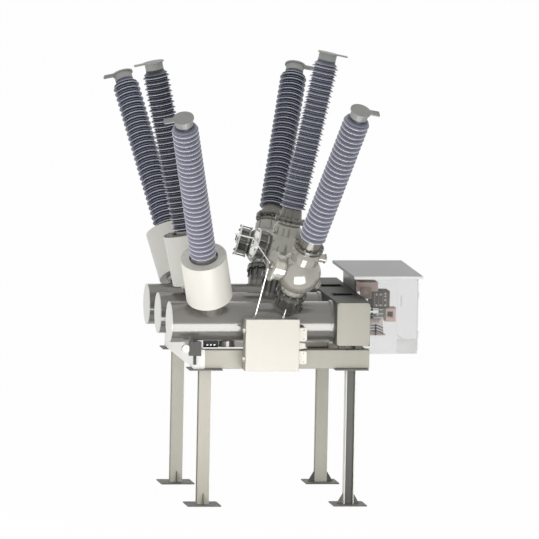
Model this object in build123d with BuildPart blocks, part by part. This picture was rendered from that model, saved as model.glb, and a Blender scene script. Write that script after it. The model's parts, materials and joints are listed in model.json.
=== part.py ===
from build123d import *

import os
from collections import namedtuple
from math import atan2, cos, degrees, radians, sin

# Three-pole gas-insulated switchgear bay with outdoor bushings, in millimetres.
# Origin at the centre of the foundation, on the floor. +X runs along the tanks towards the
# mechanism cabinet, +Y from the front pole to the rear pole, +Z up.

# Supporting frame
leg_x = 920
leg_y = 1079
leg_width = 150
leg_depth = 120
leg_flange = 10
leg_web = 7
base_plate = 420
plate_thickness = 15
anchor_pitch = 340
anchor_hole_radius = 13
top_plate_length = 418
top_plate_width = 300
gusset_height = 140
gusset_reach = 83
gusset_thickness = 10
beam_bottom = 1715
beam_height = 238
beam_width = 150
beam_wall = 8
beam_corner = 12
beam_left = -930
beam_right = 1146
frame_bolt_radius = 8
frame_bolt_clearance = 1
frame_bolt_spread_x = 110
frame_bolt_spread_y = 45
hex_flat_to_corner = 1.1547

# Breaker tanks
pole_pitch = 920
pole_lean = 30
tank_z = 2278
tank_radius = 254
tank_wall = 8
tank_left = -1346
tank_right = 701
tank_end_plate = 20
tank_flange_radius = 270
tank_flange = 45
tank_foot_length = 130
tank_foot_width = 260
port_x = -620
port_radius = 95
port_cover_radius = 105
port_drop = 52
port_cover = 14
cover_rim = 10
cover_bulge = 15
cover_flat_radius = 110
spigot_depth = 30
spigot_clearance = 0.3

# Bushings: where each pair's axis crosses the tank axis, and how far it leans outwards
bushing_tilt = 12
left_foot_x = -798
right_foot_x = 50
nozzle_radius = 158
nozzle_wall = 8
flange_radius = 194
flange_thickness = 30
left_nozzle_top = 360
right_nozzle_top = 465
bolt_circle = 178
bolt_count = 12
bolt_radius = 8
bolt_clearance = 1
bolt_head_height = 10
bolt_head_radius = 13
rib_count = 12
rib_height = 95
rib_thickness = 10
rib_edge_gap = 18

# Insulators
core_radius = 113
insulator_bore = 100
large_shed_radius = 167
small_shed_radius = 150
shed_pitch = 69
shed_tip = 5
shed_droop = 4
shed_margin = 24
cap_height = 100
cap_radius = 112
cap_plate_radius = 132
pad_thickness = 16
pad_reach = 245
pad_width = 95
pad_corner = 14
pad_hole_radius = 7
pad_hole_pitch = 45
pad_hole_reach = 196
left_cap_top = 3227
right_cap_top = 3347

# Current-transformer housings
ct_radius = 288.5
ct_wall = 6
ct_bottom = 405
ct_top = 1036
ct_plate = 8
ct_hole_radius = 169
ct_tube_radius = 158
ct_tube_wall = 8
ct_flange = 25
ct_tube_top = 990
ct_core_height = 172
ct_core_count = 3
ct_core_gap = 0.3
ct_core_radius = 268
left_base_radius = 160
left_base_flange = 25
left_base_neck = 126
left_base_top = 1065

# Disconnector housings on the right-hand bushings
sphere_t = 786
sphere_radius = 270
casting_wall = 14
body_radius = 178
body_shoulder_t = 1092
body_shoulder = 46
body_neck_radius = 146
top_flange_t = 1195
top_flange_radius = 187
top_flange = 28
top_bolt_circle = 171
right_base_flange = 26
right_base_foot = 143
right_base_neck = 122
right_base_top = 1335
upper_stub_t = 270
upper_stub_radius = 52
upper_stub_reach = 258
lower_stub_angle = -27
lower_stub_radius = 50
lower_stub_reach = 322
stub_cap = 12
stub_cap_overhang = 9

# Side port of each disconnector housing, its drive casing and its shaft
port_tilt = 17
side_port_radius = 150
side_port_wall = 12
side_port_reach = 255
side_flange_radius = 195
side_flange = 20
casing_radius = 163
casing_reach = 350
end_plate = 25
hub_radius = 45
hub_reach = 392
tie_count = 8
tie_circle = 180
tie_radius = 8
tie_clearance = 1
tie_nut = 10
tie_nut_radius = 13
tie_overhang = 3
bolt_overhang = 6
shaft_radius = 20
shaft_clearance = 0.05
shaft_inner = 45
shaft_outer = 393
crank_length = 110
crank_thickness = 15
crank_pin_radius = 8
crank_pin_inner = -5
switch_swing = 60
lever_length = 60
lever_thickness = 12
lever_boss_radius = 15
ball_gap = 0.3
link_radius = 9
link_ball_radius = 11
link_front_gap = 9.5
rod_radius = 10
rod_ball_radius = 13
rod_inside = 140

# Disconnector contacts
pin_radius = 25
pin_fit = 0.5
pin_top = 925
pin_length = 285
arm_half_height = 25
arm_reach = 132
arm_thickness = 30
slot_play = 2.8
slot_rise = 1.3
socket_t = 900
socket_depth = 60
socket_radius = 40
lower_tube_radius = 45
lower_tube_top = 690
lower_bore_bottom = 515
conductor_radius = 30
boss_top = 90

# Interrupters on the tank axes
fixed_left = -880
fixed_mouth = -500
fixed_radius = 60
tulip_depth = 150
tip_radius = 30
tip_fit = 0.5
tip_insertion = 40
tip_length = 120
moving_tube_radius = 45
moving_tube_right = 150
ring_left = -40
ring_right = 140
ring_radius = 72
collector_fit = 0.4
boss_radius = 50
post_radius = 35
post_gap = 0.3
drive_rod_radius = 22
drive_rod_clearance = 0.3

# Common shaft, its levers and the yokes of the drive rods
breaker_shaft_x = 912
breaker_lever = 150
breaker_swing = 60
breaker_shaft_radius = 30
lever_cheek = 14
lever_cheek_width = 70
cheek_gap = 3
yoke_width = 24
yoke_length = 104
yoke_height = 92
yoke_pin_radius = 10
yoke_play = 1.8
mechanism_lever_y = 235
mechanism_rod_right = 1300
bearing_thickness = 30
bearing_width = 100
bearing_cap = 45
shaft_end_gap = 12

# Coupling housing across the right ends of the tanks
housing_right = 1119
housing_half_length = 1317
housing_bottom = 2021
housing_top = 2562
housing_wall = 8
housing_foot = 90
housing_foot_inset = 60
housing_slot_length = 260
housing_slot_width = 200
end_cover_thickness = 8
end_cover_corner = 34
end_cover_border = 4

# Mechanism cabinet
cabinet_right = 1806
cabinet_half_width = 807
cabinet_bottom = 1855
cabinet_top = 2830
cabinet_wall = 5
cabinet_frame = 60
door_overlap = 22
roof_left = 986
roof_right = 1860
roof_half_width = 850
roof_thickness = 5
roof_lip = 35
door_thickness = 16
door_gap = 3
door_hinge_radius = 10
door_hinge_pin = 4
door_hinge_length = 90
door_hinge_clearance = 0.05
door_hinge_end_gap = 0.5
door_handle_length = 140
door_handle_reach = 28

# Mechanism inside the cabinet
mechanism_plate = 16
mechanism_half_width = 150
mechanism_margin = 40
mechanism_frame_bottom = 2000
mechanism_frame_top = 2700
top_block_right = 1406
top_block_bottom = 2563
top_block_top = 2676
shelf_right = 1508
shelf_bottom = 2010
shelf_thickness = 14
gearbox_left = 1330
gearbox_right = 1558
gearbox_bottom = 2350
gearbox_corner = 14
gearbox_screw_pitch = 48
gearbox_screw_height = 8
spring_count = 2
spring_z = 2205
spring_spread = 95
spring_radius = 42
spring_wire = 8
spring_turns = 8
spring_seat = 12
spring_end_gap = 0.3
spring_left = 1152
spring_right = 1420
spring_guide_end = 1456
guide_radius = 20
motor_left = 1520
motor_right = 1647
motor_bottom = 2173
motor_height = 177
motor_half_width = 90
motor_window = 70
motor_window_depth = 20
motor_corner = 18

# Drive box on the front beam
box_left = -457
box_right = 220
box_bottom = 1714
box_top = 2361
box_standoff = 32
box_depth = 183
box_wall = 4
box_door = 24
box_door_gap = 1
box_hinge_x = -477
box_hinge_arm = 10
box_hinge_radius = 18
box_hinge_pin = 6
box_hinge_zs = (1856, 2215)
box_hinge_length = 46
box_latch_reach = 100
box_latch_height = 164
box_latch_zs = (1878, 2167)
box_latch_corner = 26
box_wedge_height = 88
gland_radius = 24
gland_length = 48
gland_clearance = 0.3
rod_foot_x = -330
rod_foot_y = -1262
box_rail_inset = 90
box_rail_width = 60
box_drive_left = -440
box_drive_right = -290
box_drive_depth = 114
box_drive_bottom = 1950
box_drive_top = 2310
box_pocket_radius = 14
box_pocket_start = 40
box_pocket_depth = 140
box_latch_inset = 20
box_wedge_length = 86
box_wedge_slope = 15
box_door_edge = 6

# Gas density monitor at the front end of the left cross beam
monitor_x = -1061
monitor_width = 152
monitor_depth = 60
monitor_bottom = 1885
monitor_top = 2061
gauge_radius = 50
gauge_depth = 44
gauge_overlap = 10
stem_radius = 19
stem_bottom = 1772

os.makedirs("parts", exist_ok=True)

Leg = namedtuple("Leg", "name x y turned")
Pole = namedtuple("Pole", "name y lean tied")
Side = namedtuple("Side", "name sign foot_x nozzle_top base_top cap_top")

legs = [
    Leg("front_left", -leg_x, -leg_y, False),
    Leg("front_right", leg_x, -leg_y, True),
    Leg("rear_left", -leg_x, leg_y, False),
    Leg("rear_right", leg_x, leg_y, False),
]
poles = [
    Pole("front", -pole_pitch, pole_lean, False),
    Pole("middle", 0, 0, True),
    Pole("rear", pole_pitch, -pole_lean, True),
]
left = Side("left", -1, left_foot_x, left_nozzle_top, left_base_top, left_cap_top)
right = Side("right", 1, right_foot_x, right_nozzle_top, right_base_top, right_cap_top)
sides = (left, right)

beam_top = beam_bottom + beam_height
leg_top = beam_bottom - plate_thickness
cross_left = beam_left - beam_width


# Directions and planes of the leaning poles
def turned(vector, pole):
    """Vector of the upright middle pole, turned about the tank axis to another pole."""
    return Vector(*vector).rotate(Axis.X, pole.lean)


def foot(pole, side):
    """Point where a bushing axis crosses the tank axis."""
    return Vector(side.foot_x, pole.y, tank_z)


def up(pole, side):
    """Direction of a bushing axis, away from the tank."""
    tilt = radians(bushing_tilt)
    return turned((side.sign * sin(tilt), 0, cos(tilt)), pole)


def outward(pole, side):
    """Direction square to a bushing axis, in the pole's plane, towards +X."""
    tilt = radians(bushing_tilt)
    return turned((cos(tilt), 0, -side.sign * sin(tilt)), pole)


def across(pole, side, t):
    """Plane square to a bushing axis at the distance t from the tank axis."""
    origin = foot(pole, side) + up(pole, side) * t
    return Plane(origin=origin, x_dir=outward(pole, side), z_dir=up(pole, side))


def lengthwise(pole, side):
    """Plane through a bushing axis: x is the radius, y the distance from the tank axis."""
    normal = outward(pole, side).cross(up(pole, side))
    return Plane(origin=foot(pole, side), x_dir=outward(pole, side), z_dir=normal)


def bushing_axis(pole, side):
    """Axis of a bushing, for revolved pieces."""
    return Axis(foot(pole, side), up(pole, side))


def port_direction(pole):
    """Direction of the side port of a disconnector housing."""
    return turned((-cos(radians(port_tilt)), 0, sin(radians(port_tilt))), pole)


def port_upward(pole):
    """Direction square to the side port, in the pole's plane, pointing up."""
    return turned((sin(radians(port_tilt)), 0, cos(radians(port_tilt))), pole)


def port_sideways(pole):
    """Direction square to the pole's plane, towards the rear."""
    return turned((0, 1, 0), pole)


def sphere_centre(pole):
    """Centre of a disconnector housing."""
    return foot(pole, right) + up(pole, right) * sphere_t


def port_plane(pole, reach):
    """Plane square to the side port, x towards the rear and z along the port."""
    origin = sphere_centre(pole) + port_direction(pole) * reach
    return Plane(origin=origin, x_dir=port_sideways(pole), z_dir=port_direction(pole))


def port_point(pole, reach, length, angle):
    """Point at a reach along the port and at the end of a crank at an angle above sideways."""
    crank = port_sideways(pole) * cos(radians(angle)) + port_upward(pole) * sin(radians(angle))
    return sphere_centre(pole) + port_direction(pole) * reach + crank * length


def between(start, end):
    """Plane at a start point, square to the line towards an end point."""
    return Plane(origin=start, z_dir=(end - start).normalized())


# Legs
for leg in legs:
    direction = (0, 1, 0) if leg.turned else (1, 0, 0)
    with BuildPart() as post:
        with BuildSketch(Plane((leg.x, leg.y, 0))):
            Rectangle(base_plate, base_plate)
            with GridLocations(anchor_pitch, anchor_pitch, 2, 2):
                Circle(anchor_hole_radius, mode=Mode.SUBTRACT)
        extrude(amount=plate_thickness)
        with BuildSketch(Plane((leg.x, leg.y, plate_thickness), x_dir=direction)):
            Rectangle(leg_width, leg_depth)
            pocket = (leg_width - leg_web) / 2
            with Locations(((leg_web + pocket) / 2, 0), (-(leg_web + pocket) / 2, 0)):
                Rectangle(pocket, leg_depth - 2 * leg_flange, mode=Mode.SUBTRACT)
        extrude(amount=leg_top - plate_thickness)
        with BuildSketch(Plane((leg.x, leg.y, leg_top))):
            Rectangle(top_plate_length, top_plate_width)
            with GridLocations(2 * frame_bolt_spread_x, 2 * frame_bolt_spread_y, 2, 2):
                Circle(frame_bolt_radius + frame_bolt_clearance, mode=Mode.SUBTRACT)
        extrude(amount=plate_thickness)
        for sign in (-1, 1):
            to_side = leg.x > 0
            outwards = Vector(sign, 0, 0) if to_side else Vector(0, sign, 0)
            half = (leg_width if to_side and not leg.turned else leg_depth) / 2
            start = leg_web / 2 if to_side and not leg.turned else half
            gusset_plane = Plane(
                origin=(leg.x, leg.y, plate_thickness),
                x_dir=outwards,
                z_dir=outwards.cross(Vector(0, 0, 1)),
            )
            with BuildSketch(gusset_plane):
                with BuildLine():
                    corners = [(start, 0), (half + gusset_reach, 0), (half, gusset_height)]
                    if start < half:
                        corners.append((start, gusset_height))
                    Polyline(*corners, close=True)
                make_face()
            extrude(amount=gusset_thickness / 2, both=True)
    post.part.label = f"leg_{leg.name}"
    export_step(post.part, f"parts/leg_{leg.name}.step")

# Beams: two along the bay, two across it, all closed at their ends
Beam = namedtuple("Beam", "name start direction length")
cross_length = 2 * leg_y - beam_width
beams = [
    Beam("beam_front", (beam_left, -leg_y), (1, 0, 0), beam_right - beam_left),
    Beam("beam_rear", (beam_left, leg_y), (1, 0, 0), beam_right - beam_left),
    Beam(
        "cross_beam_left",
        (beam_left - beam_width / 2, -leg_y - beam_width / 2),
        (0, 1, 0),
        2 * leg_y + beam_width,
    ),
    Beam(
        "cross_beam_right",
        (housing_right - beam_width / 2, -leg_y + beam_width / 2),
        (0, 1, 0),
        cross_length,
    ),
]
bolt_spots = [
    (leg.x + sx * frame_bolt_spread_x, leg.y + sy * frame_bolt_spread_y)
    for leg in legs
    for sx in (-1, 1)
    for sy in (-1, 1)
]
for item in beams:
    along = Vector(*item.direction)
    centre_z = beam_bottom + beam_height / 2
    start = Vector(item.start[0], item.start[1], centre_z)
    sideways = Vector(0, 0, 1).cross(along)
    with BuildPart() as beam:
        with BuildSketch(Plane(origin=start, x_dir=sideways, z_dir=along)):
            RectangleRounded(beam_width, beam_height, beam_corner)
        extrude(amount=item.length)
        with BuildSketch(Plane(origin=start + along * beam_wall, x_dir=sideways, z_dir=along)):
            RectangleRounded(
                beam_width - 2 * beam_wall, beam_height - 2 * beam_wall, beam_corner - beam_wall
            )
        extrude(amount=item.length - 2 * beam_wall, mode=Mode.SUBTRACT)
        for x, y in bolt_spots:
            inside_length = abs(x - start.X) < beam_width / 2 if along.Y else x > start.X
            inside_width = True if along.Y else abs(y - start.Y) < beam_width / 2
            if inside_length and inside_width and item.name != "cross_beam_right":
                with BuildSketch(Plane((x, y, beam_bottom))):
                    Circle(frame_bolt_radius + frame_bolt_clearance)
                extrude(amount=beam_wall, mode=Mode.SUBTRACT)
    beam.part.label = item.name
    export_step(beam.part, f"parts/{item.name}.step")

# Tanks with their nozzles, foot and bottom port
tank_inner = tank_radius - tank_wall


def square_to_tank(pole, x):
    """Plane square to a tank's axis."""
    return Plane(origin=(x, pole.y, tank_z), x_dir=(0, 1, 0), z_dir=(1, 0, 0))


for pole in poles:
    with BuildPart() as tank:
        with BuildSketch(square_to_tank(pole, tank_left)):
            Circle(tank_radius)
        extrude(amount=tank_right - tank_left)
        with BuildSketch(square_to_tank(pole, tank_right - tank_flange)):
            Circle(tank_flange_radius)
        extrude(amount=tank_flange)
        with BuildSketch(Plane((cross_left + beam_width / 2, pole.y, beam_top))):
            Rectangle(tank_foot_length, tank_foot_width)
        extrude(amount=tank_z - beam_top)
        with BuildSketch(Plane((port_x, pole.y, tank_z - tank_radius - port_drop))):
            Circle(port_radius)
        extrude(amount=tank_radius + port_drop)
        with BuildSketch(Plane((port_x, pole.y, tank_z - tank_radius - port_drop))):
            Circle(port_cover_radius)
        extrude(amount=port_cover)
        for side in sides:
            with BuildSketch(across(pole, side, 0)):
                Circle(nozzle_radius)
            extrude(amount=side.nozzle_top)
            with BuildSketch(across(pole, side, side.nozzle_top - flange_thickness)):
                Circle(flange_radius)
            extrude(amount=flange_thickness)
        rib_top = right_nozzle_top - flange_thickness
        with BuildSketch(across(pole, right, rib_top - rib_height)):
            with PolarLocations((nozzle_radius + flange_radius - rib_edge_gap) / 2, rib_count):
                Rectangle(flange_radius - rib_edge_gap - nozzle_radius + 2, rib_thickness)
        extrude(amount=rib_height)
        with BuildSketch(square_to_tank(pole, tank_left)):
            Circle(tank_inner)
        extrude(amount=tank_right - tank_end_plate - tank_left, mode=Mode.SUBTRACT)
        with BuildSketch(square_to_tank(pole, tank_right)):
            Circle(drive_rod_radius + drive_rod_clearance)
        extrude(amount=-tank_end_plate, mode=Mode.SUBTRACT)
        for side in sides:
            with BuildSketch(across(pole, side, 0)):
                Circle(nozzle_radius - nozzle_wall)
            extrude(amount=side.nozzle_top, mode=Mode.SUBTRACT)
            with BuildSketch(across(pole, side, side.nozzle_top)):
                with PolarLocations(bolt_circle, bolt_count, start_angle=180 / bolt_count):
                    Circle(bolt_radius + bolt_clearance)
            extrude(amount=-flange_thickness, mode=Mode.SUBTRACT)
    tank.part.label = f"tank_{pole.name}"
    export_step(tank.part, f"parts/tank_{pole.name}.step")

# Dished end covers, each seated in its tank by a spigot
with BuildPart() as end_covers:
    for pole in poles:
        profile_plane = Plane(origin=(tank_left, pole.y, tank_z), x_dir=(-1, 0, 0), z_dir=(0, -1, 0))
        with BuildSketch(profile_plane):
            with BuildLine():
                rim = Polyline(
                    (-spigot_depth, 0),
                    (-spigot_depth, tank_inner - spigot_clearance),
                    (0, tank_inner - spigot_clearance),
                    (0, tank_radius),
                    (cover_rim, tank_radius),
                )
                dish = ThreePointArc(
                    rim @ 1,
                    (cover_rim + cover_bulge * 0.75, (tank_radius + cover_flat_radius) / 2),
                    (cover_rim + cover_bulge, cover_flat_radius),
                )
                Polyline(dish @ 1, (cover_rim + cover_bulge, 0), rim @ 0)
            make_face()
        revolve(axis=Axis((tank_left, pole.y, tank_z), (1, 0, 0)))
end_covers.part.label = "end_covers"
export_step(end_covers.part, "parts/end_covers.step")

# Current-transformer housings: gas tube with flanges, and the cover round the cores
tube_inner = ct_tube_radius - ct_tube_wall
for pole in poles:
    with BuildPart() as ct_housing:
        with BuildSketch(lengthwise(pole, left)):
            with BuildLine():
                Polyline(
                    (tube_inner, left_nozzle_top),
                    (flange_radius, left_nozzle_top),
                    (flange_radius, left_nozzle_top + ct_flange),
                    (ct_tube_radius, left_nozzle_top + ct_flange),
                    (ct_tube_radius, ct_bottom),
                    (ct_radius, ct_bottom),
                    (ct_radius, ct_top),
                    (ct_hole_radius, ct_top),
                    (ct_hole_radius, ct_top - ct_plate),
                    (ct_radius - ct_wall, ct_top - ct_plate),
                    (ct_radius - ct_wall, ct_bottom + ct_plate),
                    (ct_tube_radius, ct_bottom + ct_plate),
                    (ct_tube_radius, ct_tube_top),
                    (tube_inner, ct_tube_top),
                    close=True,
                )
            make_face()
        revolve(axis=bushing_axis(pole, left))
        with BuildSketch(across(pole, left, left_nozzle_top)):
            with PolarLocations(bolt_circle, bolt_count, start_angle=180 / bolt_count):
                Circle(bolt_radius + bolt_clearance)
        extrude(amount=ct_flange, mode=Mode.SUBTRACT)
    ct_housing.part.label = f"ct_housing_{pole.name}"
    export_step(ct_housing.part, f"parts/ct_housing_{pole.name}.step")

# Ring cores stacked in the housings
with BuildPart() as ct_cores:
    for pole in poles:
        for number in range(ct_core_count):
            bottom = ct_bottom + ct_plate + number * (ct_core_height + ct_core_gap)
            with BuildSketch(across(pole, left, bottom)):
                Circle(ct_core_radius)
                Circle(ct_tube_radius + ct_core_gap, mode=Mode.SUBTRACT)
            extrude(amount=ct_core_height)
ct_cores.part.label = "ct_cores"
export_step(ct_cores.part, "parts/ct_cores.step")

# Cast base rings of the bushings
with BuildPart() as bushing_bases:
    for pole in poles:
        with BuildSketch(lengthwise(pole, left)):
            with BuildLine():
                Polyline(
                    (insulator_bore, ct_tube_top),
                    (left_base_radius, ct_tube_top),
                    (left_base_radius, ct_tube_top + left_base_flange),
                    (left_base_neck, ct_tube_top + left_base_flange),
                    (left_base_neck, left_base_top),
                    (insulator_bore, left_base_top),
                    close=True,
                )
            make_face()
        revolve(axis=bushing_axis(pole, left))
        with BuildSketch(lengthwise(pole, right)):
            with BuildLine():
                Polyline(
                    (insulator_bore, top_flange_t),
                    (top_flange_radius, top_flange_t),
                    (top_flange_radius, top_flange_t + right_base_flange),
                    (right_base_foot, top_flange_t + right_base_flange),
                    (right_base_neck, right_base_top),
                    (insulator_bore, right_base_top),
                    close=True,
                )
            make_face()
        revolve(axis=bushing_axis(pole, right))
        with BuildSketch(across(pole, right, top_flange_t)):
            with PolarLocations(top_bolt_circle, bolt_count):
                Circle(bolt_radius + bolt_clearance)
        extrude(amount=right_base_flange, mode=Mode.SUBTRACT)
bushing_bases.part.label = "bushing_bases"
export_step(bushing_bases.part, "parts/bushing_bases.step")

# Shedded insulators, large and small sheds in turn
for side in sides:
    insulator_top = side.cap_top - cap_height
    shed_count = int((insulator_top - side.base_top - 2 * shed_margin) / shed_pitch)
    first_shed = insulator_top - shed_margin - shed_count * shed_pitch
    for pole in poles:
        points = [(insulator_bore, side.base_top), (core_radius, side.base_top)]
        for number in range(shed_count):
            base = first_shed + number * shed_pitch
            points.append((core_radius, base))
            points.append((large_shed_radius, base - shed_droop))
            points.append((large_shed_radius, base - shed_droop + shed_tip))
            points.append((core_radius, base + shed_pitch / 2))
            points.append((small_shed_radius, base + shed_pitch / 2 - shed_droop + shed_tip))
        points.append((core_radius, insulator_top - shed_margin))
        points.append((core_radius, insulator_top))
        points.append((insulator_bore, insulator_top))
        with BuildPart() as insulator:
            with BuildSketch(lengthwise(pole, side)):
                with BuildLine():
                    Polyline(*points, close=True)
                make_face()
            revolve(axis=bushing_axis(pole, side))
        label = f"insulator_{side.name}_{pole.name}"
        insulator.part.label = label
        export_step(insulator.part, f"parts/{label}.step")

# End caps with their terminal pads
for side in sides:
    with BuildPart() as terminals:
        for pole in poles:
            with BuildSketch(across(pole, side, side.cap_top - cap_height)):
                Circle(cap_radius)
            extrude(amount=cap_height - pad_thickness)
            with BuildSketch(across(pole, side, side.cap_top - pad_thickness)):
                Circle(cap_plate_radius)
                with Locations((side.sign * pad_reach / 2, 0)):
                    RectangleRounded(pad_reach, pad_width, pad_corner)
                with Locations((side.sign * pad_hole_reach, 0)):
                    with GridLocations(pad_hole_pitch, pad_hole_pitch, 2, 2):
                        Circle(pad_hole_radius, mode=Mode.SUBTRACT)
            extrude(amount=pad_thickness)
    terminals.part.label = f"terminals_{side.name}"
    export_step(terminals.part, f"parts/terminals_{side.name}.step")

# Disconnector housings: a hollow sphere between two necks, with a side port and two stubs
sphere_inner = sphere_radius - casting_wall
for pole in poles:
    centre = sphere_centre(pole)
    stub_tilt = radians(lower_stub_angle)
    stub_up = outward(pole, right) * cos(stub_tilt) + up(pole, right) * sin(stub_tilt)
    stubs = [
        (centre + up(pole, right) * upper_stub_t, outward(pole, right), upper_stub_radius, upper_stub_reach),
        (centre, stub_up, lower_stub_radius, lower_stub_reach),
    ]
    with BuildPart() as switch_housing:
        with BuildSketch(lengthwise(pole, right)):
            with BuildLine():
                arc = CenterArc((0, sphere_t), sphere_radius, -90, 180)
                Line(arc @ 1, arc @ 0)
            make_face()
        revolve(axis=bushing_axis(pole, right))
        with BuildSketch(across(pole, right, right_nozzle_top)):
            Circle(nozzle_radius)
        extrude(amount=sphere_t - right_nozzle_top)
        with BuildSketch(across(pole, right, right_nozzle_top)):
            Circle(flange_radius)
        extrude(amount=flange_thickness)
        with BuildSketch(lengthwise(pole, right)):
            with BuildLine():
                Polyline(
                    (0, sphere_t),
                    (body_radius, sphere_t),
                    (body_radius, body_shoulder_t),
                    (body_neck_radius, body_shoulder_t + body_shoulder),
                    (body_neck_radius, top_flange_t),
                    (0, top_flange_t),
                    close=True,
                )
            make_face()
        revolve(axis=bushing_axis(pole, right))
        with BuildSketch(across(pole, right, top_flange_t - top_flange)):
            Circle(top_flange_radius)
        extrude(amount=top_flange)
        with BuildSketch(port_plane(pole, 0)):
            Circle(side_port_radius)
        extrude(amount=side_port_reach)
        with BuildSketch(port_plane(pole, side_port_reach - side_flange)):
            Circle(side_flange_radius if pole.tied else casing_radius)
        extrude(amount=side_flange)
        for start, direction, radius, reach in stubs:
            with BuildSketch(Plane(origin=start, z_dir=direction)):
                Circle(radius)
            extrude(amount=reach)
            with BuildSketch(Plane(origin=start + direction * (reach - stub_cap), z_dir=direction)):
                Circle(radius + stub_cap_overhang)
            extrude(amount=stub_cap)
        with BuildSketch(lengthwise(pole, right)):
            with BuildLine():
                arc = CenterArc((0, sphere_t), sphere_inner, -90, 180)
                Line(arc @ 1, arc @ 0)
            make_face()
        revolve(axis=bushing_axis(pole, right), mode=Mode.SUBTRACT)
        with BuildSketch(across(pole, right, right_nozzle_top)):
            Circle(nozzle_radius - casting_wall)
        extrude(amount=sphere_t - right_nozzle_top, mode=Mode.SUBTRACT)
        with BuildSketch(across(pole, right, sphere_t)):
            Circle(body_neck_radius - casting_wall)
        extrude(amount=top_flange_t - sphere_t, mode=Mode.SUBTRACT)
        with BuildSketch(port_plane(pole, 0)):
            Circle(side_port_radius - side_port_wall)
        extrude(amount=sphere_radius, mode=Mode.SUBTRACT)
        with BuildSketch(across(pole, right, right_nozzle_top)):
            with PolarLocations(bolt_circle, bolt_count, start_angle=180 / bolt_count):
                Circle(bolt_radius + bolt_clearance)
        extrude(amount=flange_thickness, mode=Mode.SUBTRACT)
        with BuildSketch(across(pole, right, top_flange_t - top_flange)):
            with PolarLocations(top_bolt_circle, bolt_count):
                Circle(bolt_radius + bolt_clearance)
        extrude(amount=top_flange, mode=Mode.SUBTRACT)
        if pole.tied:
            with BuildSketch(port_plane(pole, side_port_reach - side_flange)):
                with PolarLocations(tie_circle, tie_count, start_angle=180 / tie_count):
                    Circle(tie_radius + tie_clearance)
            extrude(amount=side_flange, mode=Mode.SUBTRACT)
    switch_housing.part.label = f"switch_housing_{pole.name}"
    export_step(switch_housing.part, f"parts/switch_housing_{pole.name}.step")

# Drive casings on the side ports
for pole in poles:
    with BuildPart() as switch_drive:
        with BuildSketch(port_plane(pole, side_port_reach)):
            Circle(casing_radius)
        extrude(amount=casing_reach - side_port_reach)
        with BuildSketch(port_plane(pole, casing_reach)):
            Circle(side_flange_radius)
        extrude(amount=end_plate)
        with BuildSketch(port_plane(pole, casing_reach + end_plate)):
            Circle(hub_radius)
        extrude(amount=hub_reach - casing_reach - end_plate)
        with BuildSketch(port_plane(pole, side_port_reach)):
            Circle(casing_radius - side_port_wall)
        extrude(amount=casing_reach - side_port_reach, mode=Mode.SUBTRACT)
        with BuildSketch(port_plane(pole, casing_reach)):
            Circle(shaft_radius + shaft_clearance)
        extrude(amount=hub_reach - casing_reach, mode=Mode.SUBTRACT)
        if pole.tied:
            with BuildSketch(port_plane(pole, casing_reach)):
                with PolarLocations(tie_circle, tie_count, start_angle=180 / tie_count):
                    Circle(tie_radius + tie_clearance)
            extrude(amount=end_plate, mode=Mode.SUBTRACT)
    switch_drive.part.label = f"switch_drive_{pole.name}"
    export_step(switch_drive.part, f"parts/switch_drive_{pole.name}.step")


# Bolts of the frame and of the flanges, and the tie rods of the drive casings
def bolt_row(plane, circle, count, start_angle, grip, radius, head_radius, head_height, overhang):
    """Adds bolts with a head below the plane and a nut above the gripped thickness."""
    steps = [
        (plane.offset(-head_height), head_radius * hex_flat_to_corner, head_height, 6),
        (plane, radius, grip, 0),
        (plane.offset(grip), head_radius * hex_flat_to_corner, head_height, 6),
        (plane.offset(grip + head_height), radius, overhang, 0),
    ]
    for level, size, height, corners in steps:
        with BuildSketch(level) as row:
            with PolarLocations(circle, count, start_angle=start_angle):
                if corners:
                    RegularPolygon(size, corners)
                else:
                    Circle(size)
        extrude(row.sketch, amount=height)


with BuildPart() as bolts:
    for x, y in bolt_spots:
        with BuildSketch(Plane((x, y, leg_top - bolt_head_height))):
            RegularPolygon(bolt_head_radius * hex_flat_to_corner, 6)
        extrude(amount=bolt_head_height)
        with BuildSketch(Plane((x, y, leg_top))):
            Circle(frame_bolt_radius)
        extrude(amount=plate_thickness + beam_wall)
        with BuildSketch(Plane((x, y, beam_bottom + beam_wall))):
            RegularPolygon(bolt_head_radius * hex_flat_to_corner, 6)
        extrude(amount=bolt_head_height)
    for pole in poles:
        bolt_row(
            across(pole, left, left_nozzle_top - flange_thickness),
            bolt_circle,
            bolt_count,
            180 / bolt_count,
            flange_thickness + ct_flange,
            bolt_radius,
            bolt_head_radius,
            bolt_head_height,
            bolt_overhang,
        )
        bolt_row(
            across(pole, right, right_nozzle_top - flange_thickness),
            bolt_circle,
            bolt_count,
            180 / bolt_count,
            2 * flange_thickness,
            bolt_radius,
            bolt_head_radius,
            bolt_head_height,
            bolt_overhang,
        )
        bolt_row(
            across(pole, right, top_flange_t - top_flange),
            top_bolt_circle,
            bolt_count,
            0,
            top_flange + right_base_flange,
            bolt_radius,
            bolt_head_radius,
            bolt_head_height,
            bolt_overhang,
        )
        if pole.tied:
            bolt_row(
                port_plane(pole, side_port_reach - side_flange),
                tie_circle,
                tie_count,
                180 / tie_count,
                casing_reach + end_plate - side_port_reach + side_flange,
                tie_radius,
                tie_nut_radius,
                tie_nut,
                tie_overhang,
            )
bolts.part.label = "bolts"
export_step(bolts.part, "parts/bolts.step")

# Drive shafts of the disconnectors: crank inside, levers outside
rest_angle = switch_swing / 2


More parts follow.
